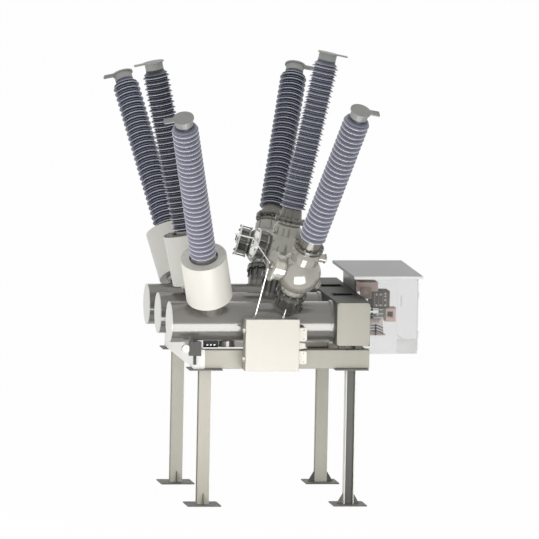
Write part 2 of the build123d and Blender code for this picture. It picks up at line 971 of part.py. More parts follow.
def lever(plane_start, thickness, pole, length, angle, half_width):
    """Adds a flat lever with round ends, from the shaft axis to its tip."""
    tip = (length * cos(radians(angle)), length * sin(radians(angle)))
    level = port_plane(pole, plane_start)
    # The port plane's y runs downwards in the pole's plane, so the rise changes sign there.
    rise = level.y_dir.dot(port_upward(pole))
    with BuildSketch(level) as outline:
        with Locations((tip[0] / 2, rise * tip[1] / 2)):
            SlotCenterToCenter(length, 2 * half_width, rotation=rise * angle)
    extrude(outline.sketch, amount=thickness)


def boss(pole, start, end, length, angle, radius):
    """Adds a round boss or pin at the tip of a lever."""
    tip = port_point(pole, start, length, angle)
    with BuildSketch(Plane(origin=tip, z_dir=port_direction(pole))) as disc:
        Circle(radius)
    extrude(disc.sketch, amount=end - start)


link_angle = rest_angle + 90
rod_angle = rest_angle + 180
for pole in poles:
    with BuildPart() as switch_shaft:
        with BuildSketch(port_plane(pole, shaft_inner)):
            Circle(shaft_radius)
        extrude(amount=shaft_outer + lever_thickness - shaft_inner)
        lever(shaft_inner, crank_thickness, pole, crank_length, rest_angle, lever_boss_radius)
        boss(pole, crank_pin_inner, shaft_inner, crank_length, rest_angle, crank_pin_radius)
        lever(shaft_outer, lever_thickness, pole, lever_length, link_angle, lever_boss_radius)
        if pole.name == "front":
            lever(shaft_outer, lever_thickness, pole, lever_length, rod_angle, lever_boss_radius)
    switch_shaft.part.label = f"switch_shaft_{pole.name}"
    export_step(switch_shaft.part, f"parts/switch_shaft_{pole.name}.step")


# Rods between the levers and down to the drive box
def rod_between(start, end, radius):
    """Adds a round rod between two points."""
    with BuildSketch(between(start, end)) as disc:
        Circle(radius)
    extrude(disc.sketch, amount=(end - start).length)


def ball_at(point, radius, direction):
    """Adds a ball joint head, round about a given direction."""
    side = Vector(0, 0, 1).cross(direction).normalized()
    with BuildSketch(Plane(origin=point, x_dir=side, z_dir=side.cross(direction))) as half:
        with BuildLine():
            arc = CenterArc((0, 0), radius, -90, 180)
            Line(arc @ 1, arc @ 0)
        make_face()
    revolve(half.sketch, axis=Axis(point, direction))


front, middle, rear = poles
lever_face = shaft_outer + lever_thickness
link_reach = lever_face + ball_gap + link_ball_radius
link_start = port_point(front, link_reach + link_front_gap, lever_length, link_angle)
link_bend = port_point(middle, link_reach, lever_length, link_angle)
link_end = port_point(rear, link_reach, lever_length, link_angle)
with BuildPart() as interphase_link:
    rod_between(link_start, link_bend, link_radius)
    rod_between(link_bend, link_end, link_radius)
    for point in (link_start, link_bend, link_end):
        ball_at(point, link_ball_radius, Vector(0, 1, 0))
interphase_link.part.label = "interphase_link"
export_step(interphase_link.part, "parts/interphase_link.step")

rod_top = port_point(front, lever_face + ball_gap + rod_ball_radius, lever_length, rod_angle)
gland = Vector(rod_foot_x, rod_foot_y, box_top)
rod_axis = (rod_top - gland).normalized()
with BuildPart() as operating_rod:
    rod_between(gland - rod_axis * rod_inside, rod_top, rod_radius)
    ball_at(rod_top, rod_ball_radius, rod_axis)
operating_rod.part.label = "operating_rod"
export_step(operating_rod.part, "parts/operating_rod.step")

# Disconnector contact pins with the slotted arm that the crank pin drives
crank_rise = crank_length * sin(radians(rest_angle))
crank_out = crank_length * cos(radians(rest_angle))
slot_inner = crank_out - crank_pin_radius - slot_play
slot_outer = crank_length + crank_pin_radius + slot_play
for pole in poles:
    arm_t = sphere_t + crank_rise
    side_plane = Plane(
        origin=foot(pole, right) + up(pole, right) * arm_t,
        x_dir=port_sideways(pole),
        z_dir=port_sideways(pole).cross(up(pole, right)),
    )
    with BuildPart() as switch_contact:
        with BuildSketch(across(pole, right, pin_top - pin_length)):
            Circle(pin_radius)
        extrude(amount=pin_length)
        with BuildSketch(side_plane):
            with Locations((arm_reach / 2, 0)):
                Rectangle(arm_reach, 2 * arm_half_height)
        extrude(amount=-arm_thickness)
        with BuildSketch(side_plane):
            with Locations(((slot_inner + slot_outer) / 2, slot_rise)):
                Rectangle(slot_outer - slot_inner, 2 * (crank_pin_radius + slot_play))
        extrude(amount=arm_thickness, both=True, mode=Mode.SUBTRACT)
    switch_contact.part.label = f"switch_contact_{pole.name}"
    export_step(switch_contact.part, f"parts/switch_contact_{pole.name}.step")

# Conductors in the bushings, and the tube that takes the contact pin
with BuildPart() as conductors:
    for pole in poles:
        with BuildSketch(across(pole, left, boss_top)):
            Circle(conductor_radius)
        extrude(amount=left_cap_top - cap_height - boss_top)
        with BuildSketch(across(pole, right, boss_top)):
            Circle(lower_tube_radius)
        extrude(amount=lower_tube_top - boss_top)
        with BuildSketch(across(pole, right, lower_bore_bottom)):
            Circle(pin_radius + pin_fit)
        extrude(amount=lower_tube_top - lower_bore_bottom, mode=Mode.SUBTRACT)
        with BuildSketch(across(pole, right, socket_t)):
            Circle(socket_radius)
        extrude(amount=socket_depth + socket_radius)
        with BuildSketch(across(pole, right, socket_t + socket_depth)):
            Circle(conductor_radius)
        extrude(amount=right_cap_top - cap_height - socket_t - socket_depth)
        with BuildSketch(across(pole, right, socket_t)):
            Circle(pin_radius + pin_fit)
        extrude(amount=socket_depth, mode=Mode.SUBTRACT)
conductors.part.label = "conductors"
export_step(conductors.part, "parts/conductors.step")

# Fixed contact and collector ring of each interrupter
with BuildPart() as fixed_contacts:
    for pole in poles:
        with BuildSketch(square_to_tank(pole, fixed_left)):
            Circle(fixed_radius)
        extrude(amount=fixed_mouth - fixed_left)
        with BuildSketch(across(pole, left, 0)):
            Circle(conductor_radius)
        extrude(amount=boss_top)
        with BuildSketch(square_to_tank(pole, ring_left)):
            Circle(ring_radius)
        extrude(amount=ring_right - ring_left)
        with BuildSketch(across(pole, right, 0)):
            Circle(boss_radius)
        extrude(amount=boss_top)
        with BuildSketch(square_to_tank(pole, fixed_mouth - tulip_depth)):
            Circle(tip_radius + tip_fit)
        extrude(amount=tulip_depth, mode=Mode.SUBTRACT)
        with BuildSketch(square_to_tank(pole, ring_left)):
            Circle(moving_tube_radius + collector_fit)
        extrude(amount=ring_right - ring_left, mode=Mode.SUBTRACT)
fixed_contacts.part.label = "fixed_contacts"
export_step(fixed_contacts.part, "parts/fixed_contacts.step")

# Resin posts under the contacts, on the tank floor
with BuildPart() as interrupter_posts:
    for pole in poles:
        for x, radius in (((fixed_left + fixed_mouth) / 2 - tulip_depth / 2, fixed_radius),
                          ((ring_left + ring_right) / 2, ring_radius)):
            with BuildSketch(Plane((x, pole.y, tank_z - tank_inner))):
                Circle(post_radius)
            extrude(amount=tank_inner)
            with BuildSketch(square_to_tank(pole, x - 2 * post_radius)):
                Circle(radius + post_gap)
            extrude(amount=4 * post_radius, mode=Mode.SUBTRACT)
        with BuildSketch(square_to_tank(pole, tank_left)):
            Circle(tank_radius + tank_inner)
            Circle(tank_inner - post_gap, mode=Mode.SUBTRACT)
        extrude(amount=tank_right - tank_left, mode=Mode.SUBTRACT)
interrupter_posts.part.label = "interrupter_posts"
export_step(interrupter_posts.part, "parts/interrupter_posts.step")

# Moving contacts with insulated rod and slotted yoke
lever_out = breaker_lever * sin(radians(breaker_swing / 2))
lever_low = breaker_lever * cos(radians(breaker_swing / 2))
shaft_z = tank_z - (breaker_lever + lever_low) / 2
yoke_x = breaker_shaft_x - lever_out
tip_left = fixed_mouth - tip_insertion


def yoke_at(y, x):
    """Adds the slotted yoke of a drive rod, round the lever's pin."""
    middle_plane = Plane(
        origin=(x, y + yoke_width / 2, tank_z), x_dir=(1, 0, 0), z_dir=(0, 1, 0)
    )
    with BuildSketch(middle_plane) as outline:
        Rectangle(yoke_length, yoke_height)
        SlotOverall(
            breaker_lever - lever_low + 2 * (yoke_pin_radius + yoke_play),
            2 * (yoke_pin_radius + yoke_play),
            rotation=90,
            mode=Mode.SUBTRACT,
        )
    extrude(outline.sketch, amount=-yoke_width)


for pole in poles:
    with BuildPart() as moving_contact:
        with BuildSketch(square_to_tank(pole, tip_left)):
            Circle(tip_radius)
        extrude(amount=tip_length)
        with BuildSketch(square_to_tank(pole, tip_left + tip_length)):
            Circle(moving_tube_radius)
        extrude(amount=moving_tube_right - tip_left - tip_length)
        with BuildSketch(square_to_tank(pole, moving_tube_right)):
            Circle(drive_rod_radius)
        extrude(amount=yoke_x - yoke_length / 2 - moving_tube_right)
        yoke_at(pole.y, yoke_x)
    moving_contact.part.label = f"moving_contact_{pole.name}"
    export_step(moving_contact.part, f"parts/moving_contact_{pole.name}.step")

# Common shaft with forked levers
lever_ys = [pole.y for pole in poles] + [mechanism_lever_y]
shaft_half = housing_half_length - housing_wall - shaft_end_gap
lever_lean = degrees(atan2(lever_low, lever_out))
with BuildPart() as breaker_shaft:
    with BuildSketch(
        Plane(origin=(breaker_shaft_x, -shaft_half, shaft_z), x_dir=(1, 0, 0), z_dir=(0, 1, 0))
    ):
        Circle(breaker_shaft_radius)
    extrude(amount=2 * shaft_half)
    for y in lever_ys:
        for start in (yoke_width / 2 + cheek_gap, -yoke_width / 2 - cheek_gap - lever_cheek):
            with BuildSketch(
                Plane(origin=(breaker_shaft_x, y + start, shaft_z), x_dir=(1, 0, 0), z_dir=(0, 1, 0))
            ):
                with Locations((-lever_out / 2, -lever_low / 2)):
                    SlotCenterToCenter(breaker_lever, lever_cheek_width, rotation=lever_lean)
            extrude(amount=lever_cheek)
        with BuildSketch(
            Plane(
                origin=(yoke_x, y - yoke_width / 2 - cheek_gap, shaft_z + lever_low),
                x_dir=(1, 0, 0),
                z_dir=(0, 1, 0),
            )
        ):
            Circle(yoke_pin_radius)
        extrude(amount=yoke_width + 2 * cheek_gap)
breaker_shaft.part.label = "breaker_shaft"
export_step(breaker_shaft.part, "parts/breaker_shaft.step")

# Rod from the mechanism to the common shaft
with BuildPart() as mechanism_rod:
    yoke_at(mechanism_lever_y, yoke_x)
    with BuildSketch(
        Plane(
            origin=(yoke_x + yoke_length / 2, mechanism_lever_y, tank_z),
            x_dir=(0, 1, 0),
            z_dir=(1, 0, 0),
        )
    ):
        Circle(drive_rod_radius)
    extrude(amount=mechanism_rod_right - yoke_x - yoke_length / 2)
mechanism_rod.part.label = "mechanism_rod"
export_step(mechanism_rod.part, "parts/mechanism_rod.step")

# Coupling housing: sheet box with rod holes, bearings, two slots in its top and its feet
housing_left = tank_right
housing_length = housing_right - housing_left
housing_middle = (housing_left + housing_right) / 2
housing_height = housing_top - housing_bottom
bearing_top = shaft_z + breaker_shaft_radius + bearing_cap
bearing_ys = [
    -shaft_half + bearing_thickness,
    -pole_pitch / 2,
    pole_pitch / 2,
    shaft_half - bearing_thickness,
]
with BuildPart() as coupling_housing:
    with BuildSketch(Plane((housing_middle, 0, housing_bottom))):
        Rectangle(housing_length, 2 * housing_half_length)
    extrude(amount=housing_height)
    with BuildSketch(Plane((housing_middle, 0, housing_bottom + housing_wall))):
        Rectangle(housing_length - 2 * housing_wall, 2 * (housing_half_length - housing_wall))
    extrude(amount=housing_height - 2 * housing_wall, mode=Mode.SUBTRACT)
    for y in bearing_ys:
        with BuildSketch(Plane((breaker_shaft_x, y, housing_bottom + housing_wall))):
            Rectangle(bearing_width, bearing_thickness)
        extrude(amount=bearing_top - housing_bottom - housing_wall)
    with BuildSketch(
        Plane(origin=(breaker_shaft_x, -shaft_half, shaft_z), x_dir=(1, 0, 0), z_dir=(0, 1, 0))
    ):
        Circle(breaker_shaft_radius + shaft_clearance)
    extrude(amount=2 * shaft_half, mode=Mode.SUBTRACT)
    for pole in poles:
        with BuildSketch(square_to_tank(pole, housing_left)):
            Circle(drive_rod_radius + drive_rod_clearance)
        extrude(amount=housing_wall, mode=Mode.SUBTRACT)
    with BuildSketch(
        Plane(origin=(housing_right, mechanism_lever_y, tank_z), x_dir=(0, 1, 0), z_dir=(1, 0, 0))
    ):
        Circle(drive_rod_radius + drive_rod_clearance)
    extrude(amount=-housing_wall, mode=Mode.SUBTRACT)
    with BuildSketch(Plane((housing_middle, 0, housing_top))):
        with Locations((0, -pole_pitch / 2), (0, pole_pitch / 2)):
            Rectangle(housing_slot_length, housing_slot_width)
    extrude(amount=-housing_wall, mode=Mode.SUBTRACT)
    with BuildSketch(Plane((housing_middle, 0, beam_top))):
        foot_spread = housing_length - 2 * housing_foot_inset - housing_foot
        with GridLocations(foot_spread, 2 * leg_y, 2, 2):
            Rectangle(housing_foot, housing_foot)
    extrude(amount=housing_bottom - beam_top)
coupling_housing.part.label = "coupling_housing"
export_step(coupling_housing.part, "parts/coupling_housing.step")

# Covers with rounded corners at both ends of the coupling housing
with BuildPart() as coupling_covers:
    for sign in (-1, 1):
        cover_plane = Plane(
            origin=(housing_middle, sign * housing_half_length, (housing_bottom + housing_top) / 2),
            x_dir=(1, 0, 0),
            z_dir=(0, sign, 0),
        )
        with BuildSketch(cover_plane):
            RectangleRounded(
                housing_length - 2 * end_cover_border,
                housing_height - 2 * end_cover_border,
                end_cover_corner,
            )
        extrude(amount=end_cover_thickness)
coupling_covers.part.label = "coupling_covers"
export_step(coupling_covers.part, "parts/coupling_covers.step")

# Cabinet: sheet box with a framed door opening on its right, under an overhanging roof
cabinet_length = cabinet_right - housing_right
cabinet_middle = (cabinet_right + housing_right) / 2
cabinet_height = cabinet_top - cabinet_bottom
opening_height = cabinet_height - 2 * cabinet_frame
opening_half_width = cabinet_half_width - cabinet_frame
rod_opening_radius = drive_rod_radius + drive_rod_clearance
with BuildPart() as cabinet_shell:
    with BuildSketch(Plane((cabinet_middle, 0, cabinet_bottom))):
        Rectangle(cabinet_length, 2 * cabinet_half_width)
    extrude(amount=cabinet_height)
    with BuildSketch(Plane((cabinet_middle, 0, cabinet_bottom + cabinet_wall))):
        Rectangle(cabinet_length - 2 * cabinet_wall, 2 * (cabinet_half_width - cabinet_wall))
    extrude(amount=cabinet_height - cabinet_wall, mode=Mode.SUBTRACT)
    with BuildSketch(
        Plane(
            origin=(cabinet_right, 0, cabinet_bottom + cabinet_height / 2),
            x_dir=(0, 1, 0),
            z_dir=(1, 0, 0),
        )
    ):
        Rectangle(2 * opening_half_width, opening_height)
    extrude(amount=-cabinet_wall, mode=Mode.SUBTRACT)
    with BuildSketch(
        Plane(origin=(housing_right, mechanism_lever_y, tank_z), x_dir=(0, 1, 0), z_dir=(1, 0, 0))
    ):
        Circle(rod_opening_radius)
    extrude(amount=cabinet_wall, mode=Mode.SUBTRACT)
    hinge_y = -opening_half_width - door_overlap
    hinge_x = cabinet_right + door_hinge_end_gap + door_hinge_radius
    hinge_zs = (cabinet_bottom + cabinet_height / 4, cabinet_top - cabinet_height / 4)
    for z in hinge_zs:
        lug_bottom = z - door_hinge_length / 2
        with BuildSketch(Plane((hinge_x, hinge_y, lug_bottom))):
            Circle(door_hinge_radius)
            with Locations(((cabinet_right - hinge_x) / 2, -door_hinge_radius / 2)):
                Rectangle(hinge_x - cabinet_right, door_hinge_radius)
        extrude(amount=door_hinge_length / 2)
        with BuildSketch(Plane((hinge_x, hinge_y, z))):
            Circle(door_hinge_pin)
        extrude(amount=door_hinge_length / 2)
cabinet_shell.part.label = "cabinet_shell"
export_step(cabinet_shell.part, "parts/cabinet_shell.step")

# The door leaf, its hinge sleeves on the cabinet's pins, and its handle
door_left = hinge_y + door_hinge_radius + door_gap
door_right = opening_half_width + door_overlap
door_bottom = cabinet_bottom + cabinet_frame - door_overlap
door_top = cabinet_top - cabinet_frame + door_overlap
with BuildPart() as cabinet_door:
    with BuildSketch(
        Plane(
            origin=(cabinet_right + door_hinge_end_gap, 0, 0),
            x_dir=(0, 1, 0),
            z_dir=(1, 0, 0),
        )
    ):
        with Locations(((door_left + door_right) / 2, (door_bottom + door_top) / 2)):
            Rectangle(door_right - door_left, door_top - door_bottom)
    extrude(amount=door_thickness - door_hinge_end_gap)
    for z in hinge_zs:
        with BuildSketch(Plane((hinge_x, hinge_y, z + door_hinge_end_gap))):
            Circle(door_hinge_radius)
            web_left = cabinet_right + door_hinge_end_gap - hinge_x
            web_right = cabinet_right + door_thickness - hinge_x
            with Locations(((web_left + web_right) / 2, (door_hinge_radius + door_gap) / 2)):
                Rectangle(web_right - web_left, door_hinge_radius + door_gap)
            Circle(door_hinge_pin + door_hinge_clearance, mode=Mode.SUBTRACT)
        extrude(amount=door_hinge_length / 2 - door_hinge_end_gap)
    handle_y = door_right - 2 * cabinet_frame
    handle_z = (cabinet_bottom + cabinet_top) / 2
    with BuildSketch(
        Plane(origin=(cabinet_right + door_thickness, handle_y, handle_z), x_dir=(0, 1, 0), z_dir=(1, 0, 0))
    ):
        SlotOverall(door_handle_length, door_handle_reach, rotation=90)
    extrude(amount=door_handle_reach)
    fillet(cabinet_door.faces().sort_by(Axis.X)[-1].edges(), door_handle_reach / 4)
cabinet_door.part.label = "cabinet_door"
export_step(cabinet_door.part, "parts/cabinet_door.step")

# Flat roof sheet with a lip turned down all round
roof_length = roof_right - roof_left
roof_middle = (roof_left + roof_right) / 2
with BuildPart() as cabinet_roof:
    with BuildSketch(Plane((roof_middle, 0, cabinet_top + roof_thickness - roof_lip))):
        Rectangle(roof_length, 2 * roof_half_width)
    extrude(amount=roof_lip)
    with BuildSketch(Plane((roof_middle, 0, cabinet_top))):
        Rectangle(roof_length - 2 * roof_thickness, 2 * (roof_half_width - roof_thickness))
    extrude(amount=roof_thickness - roof_lip, mode=Mode.SUBTRACT)
cabinet_roof.part.label = "cabinet_roof"
export_step(cabinet_roof.part, "parts/cabinet_roof.step")

# Mechanism: wall plate with top block and shelf, gearbox, springs and motor
frame_left = housing_right + cabinet_wall
with BuildPart() as mechanism_frame:
    with BuildSketch(Plane((frame_left + mechanism_plate / 2, 0, mechanism_frame_bottom))):
        Rectangle(mechanism_plate, 2 * (mechanism_half_width + mechanism_margin))
    extrude(amount=mechanism_frame_top - mechanism_frame_bottom)
    with BuildSketch(Plane(((frame_left + top_block_right) / 2, 0, top_block_bottom))):
        Rectangle(top_block_right - frame_left, 2 * mechanism_half_width)
    extrude(amount=top_block_top - top_block_bottom)
    with BuildSketch(Plane(((frame_left + shelf_right) / 2, 0, shelf_bottom))):
        Rectangle(shelf_right - frame_left, 2 * mechanism_half_width)
    extrude(amount=shelf_thickness)
mechanism_frame.part.label = "mechanism_frame"
export_step(mechanism_frame.part, "parts/mechanism_frame.step")

mechanism_wall = frame_left + mechanism_plate
with BuildPart() as mechanism_gearbox:
    with BuildSketch(Plane(((gearbox_left + gearbox_right) / 2, 0, gearbox_bottom))):
        Rectangle(gearbox_right - gearbox_left, 2 * mechanism_half_width)
    extrude(amount=top_block_bottom - gearbox_bottom)
    fillet(mechanism_gearbox.edges().filter_by(Axis.Z), gearbox_corner)
    with BuildSketch(
        Plane(
            origin=(0, -mechanism_half_width, (gearbox_bottom + top_block_bottom) / 2),
            x_dir=(1, 0, 0),
            z_dir=(0, -1, 0),
        )
    ):
        with Locations(((gearbox_left + gearbox_right) / 2, 0)):
            with GridLocations(gearbox_screw_pitch, gearbox_screw_pitch, 4, 4):
                Circle(bolt_radius)
    extrude(amount=gearbox_screw_height)
mechanism_gearbox.part.label = "mechanism_gearbox"
export_step(mechanism_gearbox.part, "parts/mechanism_gearbox.step")

# Closing and opening springs, each coiled round its guide between two seats
coil_start = spring_left + spring_wire + spring_end_gap
coil_length = spring_right - spring_left - 2 * (spring_wire + spring_end_gap)
with BuildPart() as mechanism_springs:
    for number in range(spring_count):
        y = (number - (spring_count - 1) / 2) * 2 * spring_spread
        with BuildSketch(
            Plane(origin=(mechanism_wall, y, spring_z), x_dir=(0, 1, 0), z_dir=(1, 0, 0))
        ):
            Circle(guide_radius)
        extrude(amount=spring_guide_end - mechanism_wall)
        for x in (spring_left - spring_seat, spring_right):
            with BuildSketch(Plane(origin=(x, y, spring_z), x_dir=(0, 1, 0), z_dir=(1, 0, 0))):
                Circle(spring_radius + spring_wire)
            extrude(amount=spring_seat)
        with BuildLine():
            coil = Helix(
                pitch=coil_length / spring_turns,
                height=coil_length,
                radius=spring_radius,
                center=(coil_start, y, spring_z),
                direction=(1, 0, 0),
            )
        with BuildSketch(Plane(origin=coil @ 0, z_dir=coil % 0)):
            Circle(spring_wire)
        sweep(path=coil, is_frenet=True)
mechanism_springs.part.label = "mechanism_springs"
export_step(mechanism_springs.part, "parts/mechanism_springs.step")

# Charging motor hung from the gearbox, with a window in its front
motor_middle = (motor_left + motor_right) / 2
with BuildPart() as charging_motor:
    with BuildSketch(Plane((motor_middle, 0, motor_bottom))):
        Rectangle(motor_right - motor_left, 2 * motor_half_width)
    extrude(amount=motor_height)
    fillet(charging_motor.edges().filter_by(Axis.X), motor_corner)
    with BuildSketch(
        Plane(
            origin=(motor_middle, -motor_half_width, motor_bottom + motor_height / 2),
            x_dir=(1, 0, 0),
            z_dir=(0, -1, 0),
        )
    ):
        RectangleRounded(motor_window, motor_window, motor_corner)
    extrude(amount=-motor_window_depth, mode=Mode.SUBTRACT)
charging_motor.part.label = "charging_motor"
export_step(charging_motor.part, "parts/charging_motor.step")

# Drive box: sheet box open to the front, on two rails at the front beam, with a gland for the rod
box_back = -leg_y - beam_width / 2 - box_standoff
box_front = box_back - box_depth
box_middle = (box_left + box_right) / 2
box_height = box_top - box_bottom
box_face = Plane(
    origin=(box_middle, box_front, box_bottom + box_height / 2), x_dir=(1, 0, 0), z_dir=(0, -1, 0)
)
lug_y = box_front - box_door_gap - box_door / 2
with BuildPart() as control_box:
    with BuildSketch(box_face):
        Rectangle(box_right - box_left, box_height)
    extrude(amount=-box_depth)
    with BuildSketch(box_face):
        Rectangle(box_right - box_left - 2 * box_wall, box_height - 2 * box_wall)
    extrude(amount=box_wall - box_depth, mode=Mode.SUBTRACT)
    with BuildSketch(Plane((box_middle, box_back + box_standoff / 2, beam_bottom + beam_corner))):
        rail_spread = box_right - box_left - 2 * box_rail_inset
        with GridLocations(rail_spread, 0, 2, 1):
            Rectangle(box_rail_width, box_standoff)
    extrude(amount=beam_height - 2 * beam_corner)
    with BuildSketch(
        Plane(((box_drive_left + box_drive_right) / 2, box_back - box_drive_depth / 2, box_drive_bottom))
    ):
        Rectangle(box_drive_right - box_drive_left, box_drive_depth)
    extrude(amount=box_drive_top - box_drive_bottom)
    with BuildSketch(Plane(origin=gland - rod_axis * box_pocket_start, z_dir=-rod_axis)):
        Circle(box_pocket_radius)
    extrude(amount=box_pocket_depth, mode=Mode.SUBTRACT)
    with BuildSketch(Plane(origin=gland - rod_axis * gland_length / 2, z_dir=rod_axis)):
        Circle(gland_radius)
    extrude(amount=gland_length)
    with BuildSketch(Plane(origin=gland - rod_axis * gland_length / 2, z_dir=rod_axis)):
        Circle(rod_radius + gland_clearance)
    extrude(amount=gland_length, mode=Mode.SUBTRACT)
    for z in box_latch_zs:
        with BuildSketch(
            Plane(
                origin=(box_right + box_latch_reach / 2, box_front + box_latch_inset, z),
                x_dir=(1, 0, 0),
                z_dir=(0, -1, 0),
            )
        ) as latch:
            Rectangle(box_latch_reach, box_latch_height)
            fillet(latch.vertices().group_by(Axis.X)[-1], box_latch_corner)
        extrude(amount=2 * box_latch_inset - box_depth)
    wedge_z = sum(box_latch_zs) / 2
    with BuildSketch(
        Plane(
            origin=(box_right, box_front + 2 * box_latch_inset, wedge_z),
            x_dir=(1, 0, 0),
            z_dir=(0, -1, 0),
        )
    ):
        with BuildLine():
            Polyline(
                (0, -box_wedge_height / 2),
                (box_wedge_length, box_wedge_slope - box_wedge_height / 2),
                (box_wedge_length, box_wedge_height / 2 - box_wedge_slope),
                (0, box_wedge_height / 2),
                close=True,
            )
        make_face()
    extrude(amount=4 * box_latch_inset - box_depth)
    arm_back = box_front + box_door
    for z in box_hinge_zs:
        with BuildSketch(Plane((box_hinge_x, lug_y, z - box_hinge_length / 2))):
            Circle(box_hinge_radius)
            arm_x = (box_left - box_hinge_arm - box_hinge_x) / 2
            with Locations((arm_x, (arm_back - lug_y) / 2)):
                Rectangle(box_left - box_hinge_x + box_hinge_arm, arm_back - lug_y)
        extrude(amount=box_hinge_length / 2)
        with BuildSketch(Plane((box_hinge_x, lug_y, z))):
            Circle(box_hinge_pin)
        extrude(amount=box_hinge_length / 2)
control_box.part.label = "control_box"
export_step(control_box.part, "parts/control_box.step")

# Door of the drive box with its sleeves on the box's pins
leaf_left = box_left + box_door_gap
leaf_face = Plane(
    origin=((leaf_left + box_right) / 2, box_front - box_door_gap, box_bottom + box_height / 2),
    x_dir=(1, 0, 0),
    z_dir=(0, -1, 0),
)
with BuildPart() as control_box_door:
    with BuildSketch(leaf_face):
        Rectangle(box_right - leaf_left, box_height)
    extrude(amount=box_door)
    fillet(control_box_door.faces().sort_by(Axis.Y)[0].edges(), box_door_edge)
    for z in box_hinge_zs:
        with BuildSketch(Plane((box_hinge_x, lug_y, z + box_door_gap))):
            Circle(box_hinge_radius)
            web_length = leaf_left + box_door_gap - box_hinge_x
            with Locations((web_length / 2, -box_door_edge / 2)):
                Rectangle(web_length, box_door_edge)
            Circle(box_hinge_pin + door_hinge_clearance, mode=Mode.SUBTRACT)
        extrude(amount=box_hinge_length / 2 - box_door_gap)
control_box_door.part.label = "control_box_door"
export_step(control_box_door.part, "parts/control_box_door.step")

# Gas density monitor on the front end of the left cross beam, with its gauge and valve stem
monitor_back = -leg_y - beam_width / 2
monitor_y = monitor_back - monitor_depth / 2
gauge_x = monitor_x - monitor_width / 2 - gauge_radius + gauge_overlap
monitor_z = (monitor_bottom + monitor_top) / 2
with BuildPart() as gas_monitor:
    with BuildSketch(Plane((monitor_x, monitor_y, monitor_bottom))):
        Rectangle(monitor_width, monitor_depth)
    extrude(amount=monitor_top - monitor_bottom)
    with BuildSketch(Plane((monitor_x, monitor_y, stem_bottom))):
        Circle(stem_radius)
    extrude(amount=monitor_bottom - stem_bottom)
    with BuildSketch(
        Plane(
            origin=(gauge_x, monitor_y + gauge_depth / 2, monitor_z), x_dir=(1, 0, 0), z_dir=(0, -1, 0)
        )
    ):
        Circle(gauge_radius)
    extrude(amount=gauge_depth)
gas_monitor.part.label = "gas_monitor"
export_step(gas_monitor.part, "parts/gas_monitor.step")
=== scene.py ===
"""Visual model of a three-pole gas-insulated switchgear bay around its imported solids."""

import json
import logging
from dataclasses import dataclass, field
from enum import Enum
from math import atan2, cos, inf, pi, radians, sin, sqrt

import bpy
from mathutils import Matrix, Vector


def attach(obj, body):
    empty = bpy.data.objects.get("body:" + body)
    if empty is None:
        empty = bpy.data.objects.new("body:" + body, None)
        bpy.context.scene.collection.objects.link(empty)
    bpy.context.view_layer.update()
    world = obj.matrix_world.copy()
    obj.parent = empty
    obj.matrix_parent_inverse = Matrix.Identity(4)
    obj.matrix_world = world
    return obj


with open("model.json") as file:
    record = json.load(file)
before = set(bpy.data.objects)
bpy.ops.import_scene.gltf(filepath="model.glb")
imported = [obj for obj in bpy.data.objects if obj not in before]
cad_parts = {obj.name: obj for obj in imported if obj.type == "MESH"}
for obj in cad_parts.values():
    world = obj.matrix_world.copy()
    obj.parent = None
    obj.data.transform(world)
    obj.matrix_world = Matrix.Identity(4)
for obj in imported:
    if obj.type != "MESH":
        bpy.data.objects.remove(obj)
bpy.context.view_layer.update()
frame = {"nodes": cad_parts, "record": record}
LOG = logging.getLogger("switchgear")

Color = tuple[int, int, int]
Pair = tuple[float, float]
Triple = tuple[float, float, float]
Corners = tuple[Triple, Triple]
Piece = bpy.types.Object
Material = bpy.types.Material
Node = bpy.types.Node
Socket = bpy.types.NodeSocket
Sockets = bpy.types.NodeOutputs
Tree = bpy.types.NodeTree

RIGHTWARD = Vector((1, 0, 0))
BACKWARD = Vector((0, 1, 0))
FORWARD = Vector((0, -1, 0))
UPWARD = Vector((0, 0, 1))
DOWNWARD = Vector((0, 0, -1))
SMOOTH_ANGLE = radians(35)
LEAST_COSINE = 0.9
COAT_ROUGHNESS = 0.06
RELIEF_DEPTH = 0.002
WHITE = (1.0, 1.0, 1.0, 1.0)


class Body(Enum):
    """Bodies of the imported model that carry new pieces."""

    FRAME = "frame"
    BOX_DOOR = "control_box_door"


class End(Enum):
    """The two ends of a pole, by the sign of their direction along the tank."""

    LEFT = -1
    RIGHT = 1


def linear(red: int, green: int, blue: int) -> tuple[float, float, float, float]:
    """Turns a display colour into a linear one by the sRGB curve.

    Args:
        red: Red from 0 to 255.
        green: Green from 0 to 255.
        blue: Blue from 0 to 255.

    Returns:
        The linear colour with full alpha.
    """
    values = []
    for channel in (red, green, blue):
        share = channel / 255
        values.append(share / 12.92 if share <= 0.04045 else ((share + 0.055) / 1.055) ** 2.4)
    return (*values, 1.0)


def rest_all() -> None:
    """Leaves edit mode and deselects every object."""
    if bpy.context.mode != "OBJECT":
        bpy.ops.object.mode_set(mode="OBJECT")
    bpy.ops.object.select_all(action="DESELECT")


def pick(*objects: Piece) -> None:
    """Selects only these objects and makes the first one active.

    Args:
        objects: The objects to select.
    """
    rest_all()
    for item in objects:
        item.select_set(True)
    bpy.context.view_layer.objects.active = objects[0]


def placed(obj: Piece, matrix: Matrix) -> Piece:
    """Moves a piece that was made at the origin to its place, and bakes that into its mesh.

    Args:
        obj: The piece.
        matrix: Its place in the bay.

    Returns:
        The same piece.
    """
    obj.matrix_world = matrix
    pick(obj)
    bpy.ops.object.transform_apply(location=True, rotation=True, scale=True)
    return obj


def joined(objects: list[Piece]) -> Piece:
    """Joins objects into one piece.

    Args:
        objects: The objects to join.

    Returns:
        The joined piece.
    """
    pick(*objects)
    if len(objects) > 1:
        bpy.ops.object.join()
    return bpy.context.view_layer.objects.active


